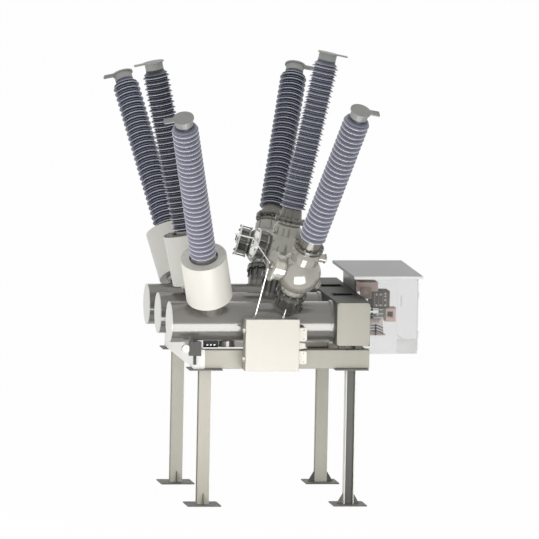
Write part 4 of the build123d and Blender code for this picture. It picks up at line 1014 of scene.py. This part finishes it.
class Palette:
    """Every finish of the object, built once, and what each CAD node wears."""

    plain = {
        "beams": PaintFinish("beam_paint", (168, 164, 151), 0.5, mottle=0.035),
        "end_cover": PaintFinish("end_cover_paint", (214, 214, 210), 0.35, mottle=0.02),
        "ct_core": PaintFinish("core_varnish", (40, 40, 42), 0.35),
        # Near-black second colour inside the coupling housing, below its slots: painted shade.
        "dark_housing": ZonedFinish("housing_paint_with_painted_shade", (76, 78, 73), 0.6, mottle=0.03,
                                    second=(20, 20, 20), centre=(0.910, 0.0, 2.2915),
                                    half=(0.204, 1.4, 0.2645)),
        "housing_cover": PaintFinish("cover_paint", (164, 160, 148), 0.45, mottle=0.02),
        "roof": ZonedFinish("roof_paint", (236, 236, 234), 0.4, dust=0.1,
                            second=(144, 144, 144), centre=(1.42, 0.15, 2.85),
                            half=(0.60, 0.9985, 0.10)),
        # The mechanism and motor primers are lightened past their own colour against the shade
        # inside the cabinet: partly painted light.
        "mechanism": PaintFinish("mechanism_primer", (214, 190, 180), 0.5),
        "motor": PaintFinish("motor_primer", (255, 226, 214), 0.45),
        "box": ZonedFinish("box_paint", (150, 148, 140), 0.4, second=(221, 216, 204),
                           centre=(0.320, -1.27, 2.0), half=(0.0995, 0.5, 1.0)),
        # A lighter copy of the beam paint for the left cross beam, whose left end faces the light:
        # painted light.
        "left_beam": PaintFinish("left_beam_painted_light", (242, 241, 236), 0.5, mottle=0.03),
        "guard": PaintFinish("guard_sheet", (246, 232, 226), 0.3, alpha=0.4, mottle=0.015),
        "panel": PaintFinish("panel_paint", (246, 246, 243), 0.5, mottle=0.02),
        "screw_paint": PaintFinish("screw_paint", (196, 195, 188), 0.45, mottle=0.01),
        "gauge": PaintFinish("gauge_enamel", (238, 236, 230), 0.35, mottle=0.01),
        "box_door": PaintFinish("box_door_paint", (211, 206, 195), 0.55, mottle=0.012),
        "monitor": PaintFinish("monitor_paint", (60, 60, 58), 0.6),
        "resin": PaintFinish("post_resin", (128, 70, 50), 0.25, coat=0.4),
        "seal": PaintFinish("seal_rubber", (34, 34, 35), 0.6, dust=0.05, peel=420.0),
        "gasket": PaintFinish("gasket_rubber", (84, 82, 78), 0.6, dust=0.05),
        "latch": PaintFinish("latch_paint", (232, 228, 214), 0.45, mottle=0.012),
        "cabinet_wall": PaneFinish("cabinet_pane", (160, 162, 162), 0.3, alpha=0.105,
                                   mottle=0.01, dust=0.02),
        "casting": CastFinish("flange_casting", (92, 92, 87), 0.34, bump=0.04,
                              dark=(60, 60, 57)),
        # Lighter second colour on the left-hand bushing bases, which lie in the shade of the
        # sheds: painted light.
        "base": ZonedFinish("base_casting_lit_left", (112, 110, 103), 0.25, metallic=0.3,
                            second=(168, 166, 160), centre=(-1.0, 0.0, 3.0),
                            half=(1.0, 3.2, 2.5)),
        "front_casting": CastFinish("port_casting", (204, 201, 192), 0.09, metallic=0.35,
                                    bump=0.015, dark=(128, 126, 118)),
        "terminal": CastFinish("cap_casting", (150, 151, 147), 0.5, metallic=0.15, bump=0.03,
                               dark=(120, 121, 116)),
        "gearbox": CastFinish("gearbox_casting", (112, 103, 97), 0.5, bump=0.08,
                              dark=(80, 74, 70)),
        "ribs": PaintFinish("rib_primer", (170, 156, 150), 0.5),
        "release": PaintFinish("release_paint", (140, 146, 132), 0.5),
        "bolts": MetalFinish("zinc_plate", (150, 150, 146), 0.4),
        "shaft": MetalFinish("ground_steel", (150, 150, 148), 0.28),
        "rod": MetalFinish("bright_rod", (232, 232, 230), 0.22, dark=(180, 180, 178)),
        "contact": MetalFinish("contact_copper", (206, 150, 112), 0.25, dark=(150, 96, 66)),
        "conductor": MetalFinish("drawn_tube", (190, 192, 194), 0.3),
        "spring": PaintFinish("spring_flake", (196, 190, 184), 0.5, coat=0.1, mottle=0.04),
        "bezel": PaintFinish("bezel_paint", (84, 80, 70), 0.4),
        "indicator": PaintFinish("indicator_primer", (176, 158, 148), 0.5),
        "lever": PaintFinish("lever_black", (34, 33, 33), 0.45),
        "knob": PaintFinish("knob_black", (46, 46, 46), 0.4),
        "weld": MetalFinish("weld_bead", (118, 118, 112), 0.45, metallic=0.4,
                            dark=(84, 84, 80), stretch=(400.0, 400.0, 400.0)),
        # One post paint in three copies, lighter on the rear posts and on the turned post's
        # flanges as painted light; the turned post's pockets hold painted shade.
        "post": LegFinish("post_paint", (166, 162, 149), 0.5, mottle=0.035),
        "rear_post": LegFinish("rear_post_paint", (192, 189, 176), 0.5, mottle=0.035),
        "turned_post": LegFinish("turned_post_paint", (220, 218, 209), 0.5, mottle=0.035,
                                 pocket_shade=(82, 81, 77), half=(0.060, 0.075), edge=(0.009, 0.008)),
    }
    single_nodes = {
        "switch_drive_front": "front_casting", "bushing_bases": "base",
        "leg_front_left": "post", "leg_front_right": "turned_post",
        "leg_rear_left": "rear_post", "leg_rear_right": "rear_post",
        "cross_beam_left": "left_beam",
    }
    # Each pole and each insulator gets its own lighter and darker copy of the same casting,
    # transformer paint, top colour and silicone: painted light and shade.
    looks = {
        "front": PoleLook(
            casting=(170, 167, 159), casting_dark=(130, 128, 120),
            transformer=(226, 224, 214), transformer_top=(196, 195, 188), screws="screw_paint",
            shed_rim_highlight=(228, 229, 237), small_rim_highlight=0.30,
            shed_core_shade={End.LEFT: (44, 45, 62), End.RIGHT: (50, 52, 68)},
            shed_face={End.LEFT: (144, 144, 160), End.RIGHT: (148, 148, 164)},
        ),
        "middle": PoleLook(
            casting=(162, 161, 152), casting_dark=(122, 122, 114),
            transformer=(205, 204, 197),
            shed_core_shade={End.LEFT: (42, 45, 54), End.RIGHT: (76, 80, 92)},
            shed_face={End.LEFT: (84, 87, 100), End.RIGHT: (150, 154, 168)},
        ),
        "rear": PoleLook(
            casting=(156, 155, 147), casting_dark=(116, 116, 109),
            transformer=(202, 201, 194),
            shed_core_shade={End.LEFT: (70, 73, 88), End.RIGHT: (64, 67, 82)},
            shed_face={End.LEFT: (156, 160, 176), End.RIGHT: (148, 152, 166)},
        ),
    }
    first_rim = {End.LEFT: 1.098, End.RIGHT: 1.356}
    drive_end_level = 0.352

    def __init__(self, effects: EffectLibrary) -> None:
        """Builds the plain finishes.

        Args:
            effects: The shared node groups.
        """
        self.effects = effects
        self.made = {key: finish.build(effects) for key, finish in self.plain.items()}

    def dress_nodes(self, poles: list[Pole]) -> None:
        """Gives each CAD node its finish.

        Args:
            poles: The three poles.
        """
        for row in frame["record"]["subparts"]:
            if row["material_slot"] in self.made:
                self.wear(row["node"], self.made[row["material_slot"]])
        for node, key in self.single_nodes.items():
            self.wear(node, self.made[key])
        for pole in poles:
            self.dress_pole(pole)

    def dress_pole(self, pole: Pole) -> None:
        """Gives the tank, housings, drive and insulators of one pole their finishes.

        Args:
            pole: The pole.
        """
        name, look = pole.name, self.looks[pole.name]
        finishes = {
            f"tank_{name}": TankFinish(
                f"tank_paint_{name}", (122, 120, 115), 0.16, coat=0.3, metallic=0.25,
                mottle=0.03, line=pole.line(End.RIGHT)),
            f"ct_housing_{name}": EndCoatFinish(
                f"transformer_paint_{name}", look.transformer, 0.4, coat=0.1, mottle=0.012,
                dust=0.1, end_coat=look.transformer_top, line=pole.line(End.LEFT)),
            f"switch_housing_{name}": HousingFinish(
                f"housing_casting_{name}", look.casting, 0.09, metallic=0.35, bump=0.015,
                dark=look.casting_dark, line=pole.line(End.RIGHT)),
        }
        if f"switch_drive_{name}" not in self.single_nodes:
            finishes[f"switch_drive_{name}"] = EndCoatFinish(
                f"drive_paint_{name}", (92, 93, 87), 0.22, coat=0.4, mottle=0.04,
                end_coat=(236, 235, 230), level=self.drive_end_level, line=pole.port_line())
        for end in End:
            side = f"{end.name.lower()}_{name}"
            finishes[f"insulator_{side}"] = ShedFinish(
                f"silicone_{side}", look.shed_face[end], 0.42, core=look.shed_core_shade[end],
                rim=look.shed_rim_highlight, small_rim_highlight=look.small_rim_highlight, first_rim=self.first_rim[end],
                line=pole.line(end))
        for node, finish in finishes.items():
            self.wear(node, finish.build(self.effects))

    @staticmethod
    def wear(name: str, material: Material) -> None:
        """Puts a material in every slot of a CAD node."""
        node = frame["nodes"][name]
        if not node.material_slots:
            node.data.materials.append(material)
        for place in node.material_slots:
            place.material = material


@dataclass
class Trim:
    """What every trim shares: the finishes that its pieces wear."""

    palette: Palette

    def settle(self, obj: Piece, name: str, finish: str, slot: str,
               body: Body = Body.FRAME) -> None:
        """Names a finished piece, gives it its finish and lets it ride on its body.

        Args:
            obj: The piece.
            name: Its name.
            finish: Its finish in the palette.
            slot: The record's material slot; not used.
            body: The body that it rides on.
        """
        obj.name = name
        obj.data.name = name
        obj.data.materials.clear()
        obj.data.materials.append(self.palette.made[finish])
        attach(obj, body.value)
        LOG.info("piece %s rides on %s", name, body.value)


@dataclass
class TankWelds(Trim):
    """Weld beads where the nozzles meet a tank."""

    nozzle_radius: float = 0.158
    bead: float = 0.007
    steps: int = 160
    sides: int = 8
    ripple: float = 0.18
    waves: int = 40

    def build(self, pole: Pole) -> None:
        """Models the beads of one tank.

        Args:
            pole: The pole.
        """
        beads = joined([self.bead_at(pole, end) for end in End])
        self.settle(beads, f"nozzle_welds_{pole.name}", "weld", "tank")

    def bead_at(self, pole: Pole, end: End) -> Piece:
        """Bends a rippled ring onto the tank round one nozzle.

        Args:
            pole: The pole.
            end: The nozzle's end of the pole.

        Returns:
            The bead.
        """
        bead = hoop(self.nozzle_radius, self.bead, pole.across(end, 0.0), self.steps, self.sides)
        foot, up = pole.foot(end), pole.up(end)
        sideways, out = pole.turned(0, 1, 0), pole.outward(end)
        for vertex in bead.data.vertices:
            offset = vertex.co - foot
            height = offset.dot(up)
            flat = offset - up * height
            ray = flat.normalized() * self.nozzle_radius
            across_tank, along = ray.dot(sideways), ray.dot(out)
            climb = sqrt(pole.tank_radius**2 - across_tank**2)
            rise = (climb + along * end.value * sin(pole.tilt)) / cos(pole.tilt)
            swell = 1.0 + self.ripple * sin(self.waves * atan2(across_tank, along))
            vertex.co = foot + ray + (flat - ray) * swell + up * (rise + height * swell)
        bead.data.update()
        return bead


@dataclass
class TransformerTrim(Trim):
    """Screws round the top edge of a current-transformer housing, and the seal at its neck."""

    radius: float = 0.2885
    edge_gap: float = 0.024
    level: float = 1.036
    count: int = 16
    screw: Pair = (0.011, 0.007)
    seal_radius: float = 0.1745
    seal_wire: float = 0.0065
    seal_lift: float = 0.001
    seal_facets: tuple[int, int] = (72, 10)

    def build(self, pole: Pole) -> None:
        """Models one housing's screws and the seal round its neck.

        Args:
            pole: The pole.
        """
        place = pole.across(End.LEFT, self.level)
        screws = screws_at(self.screw, ring_places(place, self.radius - self.edge_gap, self.count))
        paint = self.palette.looks[pole.name].screws
        self.settle(screws, f"transformer_screws_{pole.name}", paint, "bolts")
        seal = hoop(self.seal_radius, self.seal_wire,
                    pole.across(End.LEFT, self.level + self.seal_lift), *self.seal_facets)
        self.settle(seal, f"transformer_seal_{pole.name}", "gasket", "ct_housing")


@dataclass
class DisconnectorTrim(Trim):
    """Screws and filling plugs on the two stub caps of one disconnector."""

    stub_angle: float = radians(-27)
    lower_radius: float = 0.059
    lower_reach: float = 0.322
    upper_radius: float = 0.061
    upper_reach: float = 0.258
    upper_level: float = 0.270
    edge_gap: float = 0.015
    count: int = 6
    screw: Pair = (0.0095, 0.007)
    plug: Pair = (0.022, 0.014)
    plug_rim: float = 0.006
    nipple: float = 0.008

    def build(self, pole: Pole) -> None:
        """Models the trim of one disconnector.

        Args:
            pole: The pole.
        """
        up, out = pole.up(End.RIGHT), pole.outward(End.RIGHT)
        lower = out * cos(self.stub_angle) + up * sin(self.stub_angle)
        stubs = []
        for direction, level, reach, radius in (
            (lower, 0.0, self.lower_reach, self.lower_radius),
            (out, self.upper_level, self.upper_reach, self.upper_radius),
        ):
            origin = pole.sphere() + up * level + direction * reach
            stubs.append((radius, axis_frame(origin, pole.turned(0, 1, 0), direction)))
        screw_places = [spot for radius, place in stubs
                        for spot in ring_places(place, radius - self.edge_gap, self.count)]
        self.settle(screws_at(self.screw, screw_places), f"stub_screws_{pole.name}",
                    "bolts", "bolts")
        plugs = []
        for _, place in stubs:
            boss = stepped(drum(*self.plug, 24), UPWARD, self.plug_rim, push=(0, 0, self.nipple))
            plugs.append(placed(bevelled(boss, 0.002), place))
        self.settle(joined(plugs), f"filling_plugs_{pole.name}", "rod", "rod")


@dataclass
class GasValve(Trim):
    """Valve block under a tank, between its foot and its bottom port."""

    x: float = -0.835
    width: float = 0.196
    depth: float = 0.12
    height: float = 0.075
    sunk: float = 0.012
    pitch: float = 0.045
    level: float = 0.52
    coupling: Pair = (0.013, 0.022)
    nipple_rim: float = 0.004
    nipple: float = 0.012

    def build(self, pole: Pole) -> None:
        """Models one valve block with its couplings.

        Args:
            pole: The pole.
        """
        top = pole.tank_z - pole.tank_radius + self.sunk
        low = (self.x - self.width / 2, pole.y - self.depth / 2, top - self.height)
        high = (self.x + self.width / 2, pole.y + self.depth / 2, top)
        self.settle(block(low, high, 0.006), f"gas_valve_{pole.name}", "seal", "monitor")
        parts = []
        for step in (-self.pitch, 0.0, self.pitch):
            coupling = stepped(drum(*self.coupling, 6), UPWARD, self.nipple_rim,
                               push=(0, 0, self.nipple))
            origin = Vector((self.x + step, low[1] + 0.001, top - self.height * self.level))
            parts.append(placed(bevelled(coupling, 0.0015),
                                axis_frame(origin, RIGHTWARD, FORWARD)))
        self.settle(joined(parts), f"gas_couplings_{pole.name}", "rod", "rod")


@dataclass
class MonitorGauge(Trim):
    """Dial of the gas density monitor, with plain ticks and a pointer."""

    centre: Triple = (-1.177, -1.206, 1.973)
    radius: float = 0.05
    thickness: float = 0.006
    rim: float = 0.005
    sunk: float = 0.003
    ticks: int = 9
    first_tick: float = -40.0
    tick_step: float = 32.5
    tick: Corners = ((0.032, -0.0009, 0.0028), (0.041, 0.0009, 0.0042))
    pointer: Corners = ((-0.008, -0.0013, 0.0035), (0.034, 0.0013, 0.0048))
    reading: float = 75.0
    hub: Pair = (0.004, 0.0056)

    def build(self) -> None:
        """Models the bezel, dial plate, ticks and pointer."""
        place = axis_frame(Vector(self.centre), RIGHTWARD, FORWARD)
        bezel = stepped(drum(self.radius, self.thickness, 48), UPWARD, self.rim,
                        push=(0, 0, -self.sunk))
        self.settle(placed(bevelled(bezel, 0.001), place), "gauge_dial", "gauge", "box_door")
        marks = []
        for number in range(self.ticks):
            turn = radians(self.first_tick + self.tick_step * number)
            marks.append(placed(block(*self.tick), place @ Matrix.Rotation(turn, 4, "Z")))
        pointer = block(*self.pointer, 0.0004)
        marks.append(placed(pointer, place @ Matrix.Rotation(radians(self.reading), 4, "Z")))
        marks.append(placed(drum(*self.hub, 16), place))
        self.settle(joined(marks), "gauge_marks", "seal", "monitor")


@dataclass
class CouplingTrim(Trim):
    """Rims round the slots of the coupling housing, and the screws of its end covers."""

    middle_x: float = 0.910
    bottom: float = 2.021
    top: float = 2.562
    half_length: float = 1.317
    slot_y: float = 0.46
    slot: Pair = (0.26, 0.20)
    rim: float = 0.016
    band: float = 0.015
    rim_height: float = 0.005
    cover: Pair = (0.410, 0.533)
    cover_thickness: float = 0.008
    edge_gap: float = 0.03
    screw: Pair = (0.010, 0.006)
    side_rises: tuple[float, ...] = (-1, -0.34, 0.34, 1)
    middle_rises: tuple[float, ...] = (-1, 1)

    def build(self) -> None:
        """Models the slot rims and the cover screws."""
        rims = []
        for y in (-self.slot_y, self.slot_y):
            place = Matrix.Translation((self.middle_x, y, self.top))
            rims.append(placed(self.slot_rim(), place))
        self.settle(joined(rims), "slot_rims", "dark_housing", "dark_housing")
        places = []
        for sign in (-1, 1):
            for across in (-1, 0, 1):
                for rise in self.side_rises if across else self.middle_rises:
                    origin = Vector((
                        self.middle_x + across * (self.cover[0] / 2 - self.edge_gap),
                        sign * (self.half_length + self.cover_thickness),
                        (self.bottom + self.top) / 2 + rise * (self.cover[1] / 2 - self.edge_gap),
                    ))
                    places.append(axis_frame(origin, UPWARD, Vector((0, sign, 0))))
        self.settle(screws_at(self.screw, places), "cover_screws", "housing_cover", "bolts")

    def slot_rim(self) -> Piece:
        """Models one open rim at the origin: a plate whose middle is cut out and walled."""
        half = (self.slot[0] / 2 + self.rim, self.slot[1] / 2 + self.rim)
        rim = block((-half[0], -half[1], 0.0), (*half, self.rim_height))
        for direction in (UPWARD, DOWNWARD):
            select_faces(rim, direction)
            bpy.ops.mesh.inset(thickness=self.band, depth=0.0)
            bpy.ops.mesh.delete(type="FACE")
            bpy.ops.object.mode_set(mode="OBJECT")
        pick(rim)
        bpy.ops.object.mode_set(mode="EDIT")
        bpy.ops.mesh.select_mode(type="EDGE")
        bpy.ops.mesh.select_all(action="DESELECT")
        bpy.ops.mesh.select_non_manifold()
        bpy.ops.mesh.bridge_edge_loops()
        bpy.ops.mesh.select_all(action="SELECT")
        bpy.ops.mesh.normals_make_consistent(inside=False)
        bpy.ops.object.mode_set(mode="OBJECT")
        return rim


@dataclass
class BoxTrim(Trim):
    """Latch screws, hinge caps and the top rod of the drive box."""

    right: float = 0.220
    top: float = 2.361
    front: float = -1.369
    latch_levels: Pair = (1.878, 2.167)
    latch_rise: float = 0.055
    latch_out: float = 0.062
    latch_back: float = 0.02
    screw: Pair = (0.009, 0.006)
    hinge: Pair = (-0.477, -1.382)
    hinge_levels: Pair = (1.856, 2.215)
    cap: Pair = (0.0185, 0.006)
    cap_step: Pair = (0.006, 0.003)
    cap_lift: float = 0.0231
    rod_foot: Pair = (0.030, -1.27)
    rod_lean: float = 0.032
    rod_rise: float = 0.115
    rod_radius: float = 0.009
    rod_step: Pair = (0.003, 0.003)
    rod_sunk: float = 0.004
    socket: Pair = (0.020, 0.030)
    socket_step: Pair = (0.007, 0.006)
    socket_sunk: float = 0.006

    def build(self) -> None:
        """Models the drive box's trim."""
        places = []
        for level in self.latch_levels:
            for rise in (-self.latch_rise, self.latch_rise):
                origin = Vector((self.right + self.latch_out, self.front + self.latch_back,
                                 level + rise))
                places.append(axis_frame(origin, RIGHTWARD, FORWARD))
        self.settle(screws_at(self.screw, places), "latch_screws", "bolts", "bolts")
        caps = []
        for level in self.hinge_levels:
            cap = bevelled(stepped(drum(*self.cap), UPWARD, *self.cap_step), 0.0015)
            caps.append(placed(cap, Matrix.Translation((*self.hinge, level + self.cap_lift))))
        self.settle(joined(caps), "hinge_caps", "latch", "box_door", Body.BOX_DOOR)
        self.top_rod()

    def top_rod(self) -> None:
        """Models the short bright rod that stands in a socket on the box's top."""
        foot = Vector((*self.rod_foot, self.top))
        reach = Vector((self.rod_lean, 0, self.rod_rise))
        lean = reach.normalized()
        rod = stepped(drum(self.rod_radius, reach.length, 24), UPWARD, *self.rod_step)
        socket = stepped(drum(*self.socket), UPWARD, *self.socket_step)
        rod_place = axis_frame(foot - lean * self.rod_sunk, BACKWARD, lean)
        socket_place = axis_frame(foot - lean * self.socket_sunk, BACKWARD, lean)
        pieces = [placed(bevelled(rod, 0.001), rod_place),
                  placed(bevelled(socket, 0.0015), socket_place)]
        self.settle(joined(pieces), "box_top_rod", "rod", "rod")


@dataclass
class CabinetTrim(Trim):
    """Terminal panel on the inside of the cabinet's front wall."""

    low: Triple = (1.548, -0.7995, 1.864)
    high: Triple = (1.795, -0.7930, 2.045)
    rim: float = 0.010
    tray: float = 0.012
    screw: Pair = (0.006, 0.004)
    columns: int = 9
    first_x: float = 1.575
    pitch: float = 0.024
    rows: Pair = (1.905, 2.000)
    screw_rise: float = 0.0119

    def build(self) -> None:
        """Models the panel with its folded rim and its two rows of terminal screws."""
        panel = stepped(block(self.low, self.high), BACKWARD, self.rim, push=(0, self.tray, 0))
        self.settle(bevelled(panel, 0.001), "terminal_panel", "panel", "mechanism")
        places = []
        for number in range(self.columns):
            for z in self.rows:
                origin = Vector((self.first_x + number * self.pitch,
                                 self.high[1] + self.screw_rise, z))
                places.append(axis_frame(origin, RIGHTWARD, BACKWARD))
        self.settle(screws_at(self.screw, places), "terminal_screws", "bolts", "bolts")


@dataclass
class MechanismTrim(Trim):
    """Small parts on the mechanism that show through the cabinet's pane."""

    front: float = -0.15
    bracket: Corners = ((1.179, -0.176, 2.471), (1.321, -0.150, 2.612))
    bezel: Corners = ((1.540, -0.098, 2.240), (1.607, -0.089, 2.302))
    guard: Corners = ((1.145, -0.1475, 2.022), (1.478, -0.1445, 2.256))
    fold: float = 0.003
    flange: float = 0.012
    rib_x: tuple[float, ...] = (1.362, 1.414, 1.466, 1.518)
    rib_half: float = 0.007
    rib_depth: float = 0.014
    rib_z: Pair = (2.372, 2.541)
    rib_taper: Triple = (0.6, 1.0, 0.94)
    screw: Pair = (0.011, 0.008)
    release: Corners = ((1.415, -0.176, 2.232), (1.495, -0.152, 2.352))
    release_tab: Corners = ((1.421, -0.156, 2.336), (1.489, -0.120, 2.351))
    rod_z: tuple[float, ...] = (2.337, 2.286, 2.238)
    rod_y: float = -0.178
    rod_x: float = 1.335
    rod: Pair = (0.0085, 0.136)
    knob_x: float = 1.317
    knob: Pair = (0.0145, 0.024)
    lever_foot: Corners = ((1.372, -0.162, 2.012), (1.396, -0.1480, 2.152))
    lever_foot_taper: Triple = (0.7, 1.0, 1.0)
    lever_x: Pair = (1.318, 1.402)
    lever_y: Pair = (-0.171, -0.161)
    lever_z: tuple[float, ...] = (2.132, 2.098, 2.064)
    lever_height: float = 0.012
    lever_bend: Triple = (0.078, 0, -0.034)
    gearbox_screw_z: dict = field(default_factory=lambda: {
        1.388: (2.388, 2.524), 1.440: (2.388, 2.524), 1.500: (2.388, 2.456, 2.500, 2.536),
    })

    def build(self) -> None:
        """Models the indicator bracket, guard, gearbox ribs, release rods, levers and bezel."""
        bracket = stepped(block(*self.bracket, 0.004), FORWARD, 0.018, push=(0, 0.010, 0))
        self.settle(bracket, "indicator_bracket", "indicator", "box_door")
        self.spring_guard()
        self.ribs()
        self.release_rods()
        self.trip_levers()
        bezel = stepped(block(*self.bezel), FORWARD, 0.007, push=(0, 0.004, 0))
        self.settle(bevelled(bezel, 0.001), "motor_bezel", "bezel", "mechanism")

    def spring_guard(self) -> None:
        """Models the folded sheet that stands on the shelf in front of the springs."""
        sheet = block(*self.guard)
        select_faces(sheet, UPWARD)
        extruded((0, 0, self.fold))
        select_faces(sheet, BACKWARD, above=self.guard[1][2])
        extruded((0, self.flange, 0))
        self.settle(sheet, "spring_guard", "guard", "mechanism")

    def ribs(self) -> None:
        """Models the ribs and the screws on the gearbox's front."""
        ribs = []
        for x in self.rib_x:
            rib = block((x - self.rib_half, self.front - self.rib_depth, self.rib_z[0]),
                        (x + self.rib_half, self.front + 0.001, self.rib_z[1]))
            ribs.append(bevelled(narrowed(rib, FORWARD, self.rib_taper), 0.0015))
        self.settle(joined(ribs), "gearbox_ribs", "ribs", "gearbox")
        places = [axis_frame(Vector((x, self.front, z)), RIGHTWARD, FORWARD)
                  for x, levels in self.gearbox_screw_z.items() for z in levels]
        self.settle(screws_at(self.screw, places), "gearbox_screws", "gauge", "bolts")

    def release_rods(self) -> None:
        """Models the release block under the gearbox with its three rods and their knobs."""
        body = stepped(block(*self.release), UPWARD, 0.004)
        tab = block(*self.release_tab, 0.001)
        self.settle(joined([bevelled(body, 0.003), tab]), "release_block", "release", "mechanism")
        rods, knobs = [], []
        for z in self.rod_z:
            rod = bevelled(drum(*self.rod, 20), 0.0012)
            origin = Vector((self.rod_x, self.rod_y, z))
            rods.append(placed(rod, axis_frame(origin, UPWARD, RIGHTWARD)))
            knob = bevelled(stepped(drum(*self.knob, 24), DOWNWARD, 0.004, 0.003), 0.0015)
            origin = Vector((self.knob_x, self.rod_y, z))
            knobs.append(placed(knob, axis_frame(origin, UPWARD, RIGHTWARD)))
        self.settle(joined(rods), "release_rods", "gauge", "rod")
        self.settle(joined(knobs), "release_knobs", "knob", "drive")

    def trip_levers(self) -> None:
        """Models the three bent trip levers and the bracket that carries them on the shelf."""
        foot = narrowed(block(*self.lever_foot), UPWARD, self.lever_foot_taper)
        levers = [bevelled(foot, 0.002)]
        for z in self.lever_z:
            bar = block((self.lever_x[0], self.lever_y[0], z),
                        (self.lever_x[1], self.lever_y[1], z + self.lever_height))
            select_faces(bar, RIGHTWARD)
            extruded(self.lever_bend)
            levers.append(bevelled(bar, 0.0015, 1))
        self.settle(joined(levers), "trip_levers", "lever", "spring")


@dataclass(frozen=True)
class Lamp:
    """One soft rectangular lamp: where it stands, what it looks at, its size and its power."""

    name: str
    place: Triple
    target: Triple
    size: Pair
    power: float
    mirrored: bool = False

    def build(self) -> None:
        """Adds the lamp; castings mirror it or surfaces are lit by it, never both."""
        data = bpy.data.lights.new(self.name, "AREA")
        data.shape = "RECTANGLE"
        data.size, data.size_y = self.size
        data.energy = self.power
        lamp = bpy.data.objects.new(self.name, data)
        bpy.context.scene.collection.objects.link(lamp)
        lamp.location = self.place
        lamp.rotation_mode = "QUATERNION"
        aim = Vector(self.target) - Vector(self.place)
        lamp.rotation_quaternion = aim.to_track_quat("-Z", "Y")
        lamp.visible_glossy = self.mirrored
        lamp.visible_diffuse = not self.mirrored


@dataclass
class Studio:
    """Floor, lights, world and camera."""

    azimuth: float = radians(9.2)
    elevation: float = radians(6.8)
    roll: float = radians(1.08)
    distance: float = 280.0
    clip: Pair = (10.0, 700.0)
    frame_width: float = 6.7375
    sensor: float = 36.0
    aim: Triple = (0.0503, 0.0, 2.8216)
    ambient: float = 0.6
    floor_size: float = 160.0
    floor_color: tuple[float, ...] = (0.9, 0.9, 0.9, 1.0)
    floor_roughness: float = 0.9
    floor_white: float = 0.97
    lamps: tuple[Lamp, ...] = (
        Lamp("left_softbox", (-7.5, -4.5, 3.2), (0.0, 0.0, 2.4), (4.5, 4.5), 230.0),
        Lamp("front_softbox", (0.5, -6.5, 0.9), (0.0, -0.5, 2.5), (3.5, 3.5), 140.0),
        Lamp("top_softbox", (1.0, 2.0, 9.5), (0.0, 0.0, 2.0), (5.0, 5.0), 90.0),
        Lamp("low_panel", (0.05, -3.75, 1.05), (0.5634, -1.3044, 2.9438), (3.0, 2.3), 143.0,
             mirrored=True),
    )

    def build(self) -> None:
        """Sets up the whole studio."""
        self.camera()
        self.world()
        self.floor()
        for lamp in self.lamps:
            lamp.build()
        bpy.context.scene.view_settings.view_transform = "Standard"

    def camera(self) -> None:
        """Puts the camera where the picture was taken from."""
        a, e, r = self.azimuth, self.elevation, self.roll
        right = Vector((cos(a), -sin(a), 0))
        up = Vector((sin(a) * sin(e), cos(a) * sin(e), cos(e)))
        back = Vector((-sin(a) * cos(e), -cos(a) * cos(e), sin(e)))
        rolled_right = right * cos(r) + up * sin(r)
        rolled_up = up * cos(r) - right * sin(r)
        data = bpy.data.cameras.new("camera")
        data.sensor_width = self.sensor
        data.lens = self.sensor * self.distance / self.frame_width
        data.clip_start, data.clip_end = self.clip
        camera = bpy.data.objects.new("camera", data)
        bpy.context.scene.collection.objects.link(camera)
        turn = Matrix((rolled_right, rolled_up, back)).transposed().to_4x4()
        camera.matrix_world = Matrix.Translation(Vector(self.aim) + back * self.distance) @ turn
        bpy.context.scene.camera = camera

    def world(self) -> None:
        """Soft even light, with a white backdrop for what looks at it or mirrors it."""
        world = bpy.data.worlds.new("studio_world")
        bpy.context.scene.world = world
        world.use_nodes = True
        world.node_tree.nodes.clear()
        table = NodeTable(world.node_tree)
        soft = table.add("Background", {"Color": WHITE, "Strength": self.ambient}).outputs[0]
        white = table.add("Background", {"Color": WHITE, "Strength": 1.0}).outputs[0]
        mix = table.add("MixShader", {0: self.shown_white(table), 1: soft, 2: white})
        table.add("OutputWorld", {0: mix.outputs[0]})

    @staticmethod
    def shown_white(table: NodeTable) -> Socket:
        """Tells the rays that show the white backdrop: camera, mirrored and passing rays.

        Args:
            table: The node table that gets the nodes.

        Returns:
            A socket that is 1 for such a ray.
        """
        rays = table.add("LightPath").outputs
        mirrored = table.math("MAXIMUM", rays["Is Glossy Ray"], rays["Is Transmission Ray"])
        return table.math("MAXIMUM", rays["Is Camera Ray"], mirrored)

    def floor(self) -> None:
        """Pale floor that keeps a faint shadow."""
        rest_all()
        bpy.ops.mesh.primitive_plane_add(size=self.floor_size)
        plane = bpy.context.active_object
        plane.name = "studio_floor"
        material = bpy.data.materials.new("studio_floor")
        material.use_nodes = True
        table = NodeTable(material.node_tree)
        shader = material.node_tree.nodes["Principled BSDF"]
        table.put(shader, {"Base Color": self.floor_color, "Roughness": self.floor_roughness})
        glow = table.add("Emission", {"Strength": 1.0})
        share = table.math("MULTIPLY", self.shown_white(table), self.floor_white)
        mix = table.add("MixShader", {0: share, 1: shader.outputs[0], 2: glow.outputs[0]})
        table.put(material.node_tree.nodes["Material Output"], {0: mix.outputs[0]})
        plane.data.materials.append(material)


def main() -> None:
    """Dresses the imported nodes, models the added pieces and sets up the studio."""
    logging.basicConfig(level=logging.INFO)
    poles = [Pole("front", y=-0.92, lean=30), Pole("middle", y=0.0, lean=0),
             Pole("rear", y=0.92, lean=-30)]
    palette = Palette(EffectLibrary())
    palette.dress_nodes(poles)
    for pole in poles:
        for trim in (TankWelds, TransformerTrim, DisconnectorTrim, GasValve):
            trim(palette).build(pole)
    for trim in (MonitorGauge, CouplingTrim, BoxTrim, CabinetTrim, MechanismTrim):
        trim(palette).build()
    Studio().build()


if __name__ == "__main__":
    main()
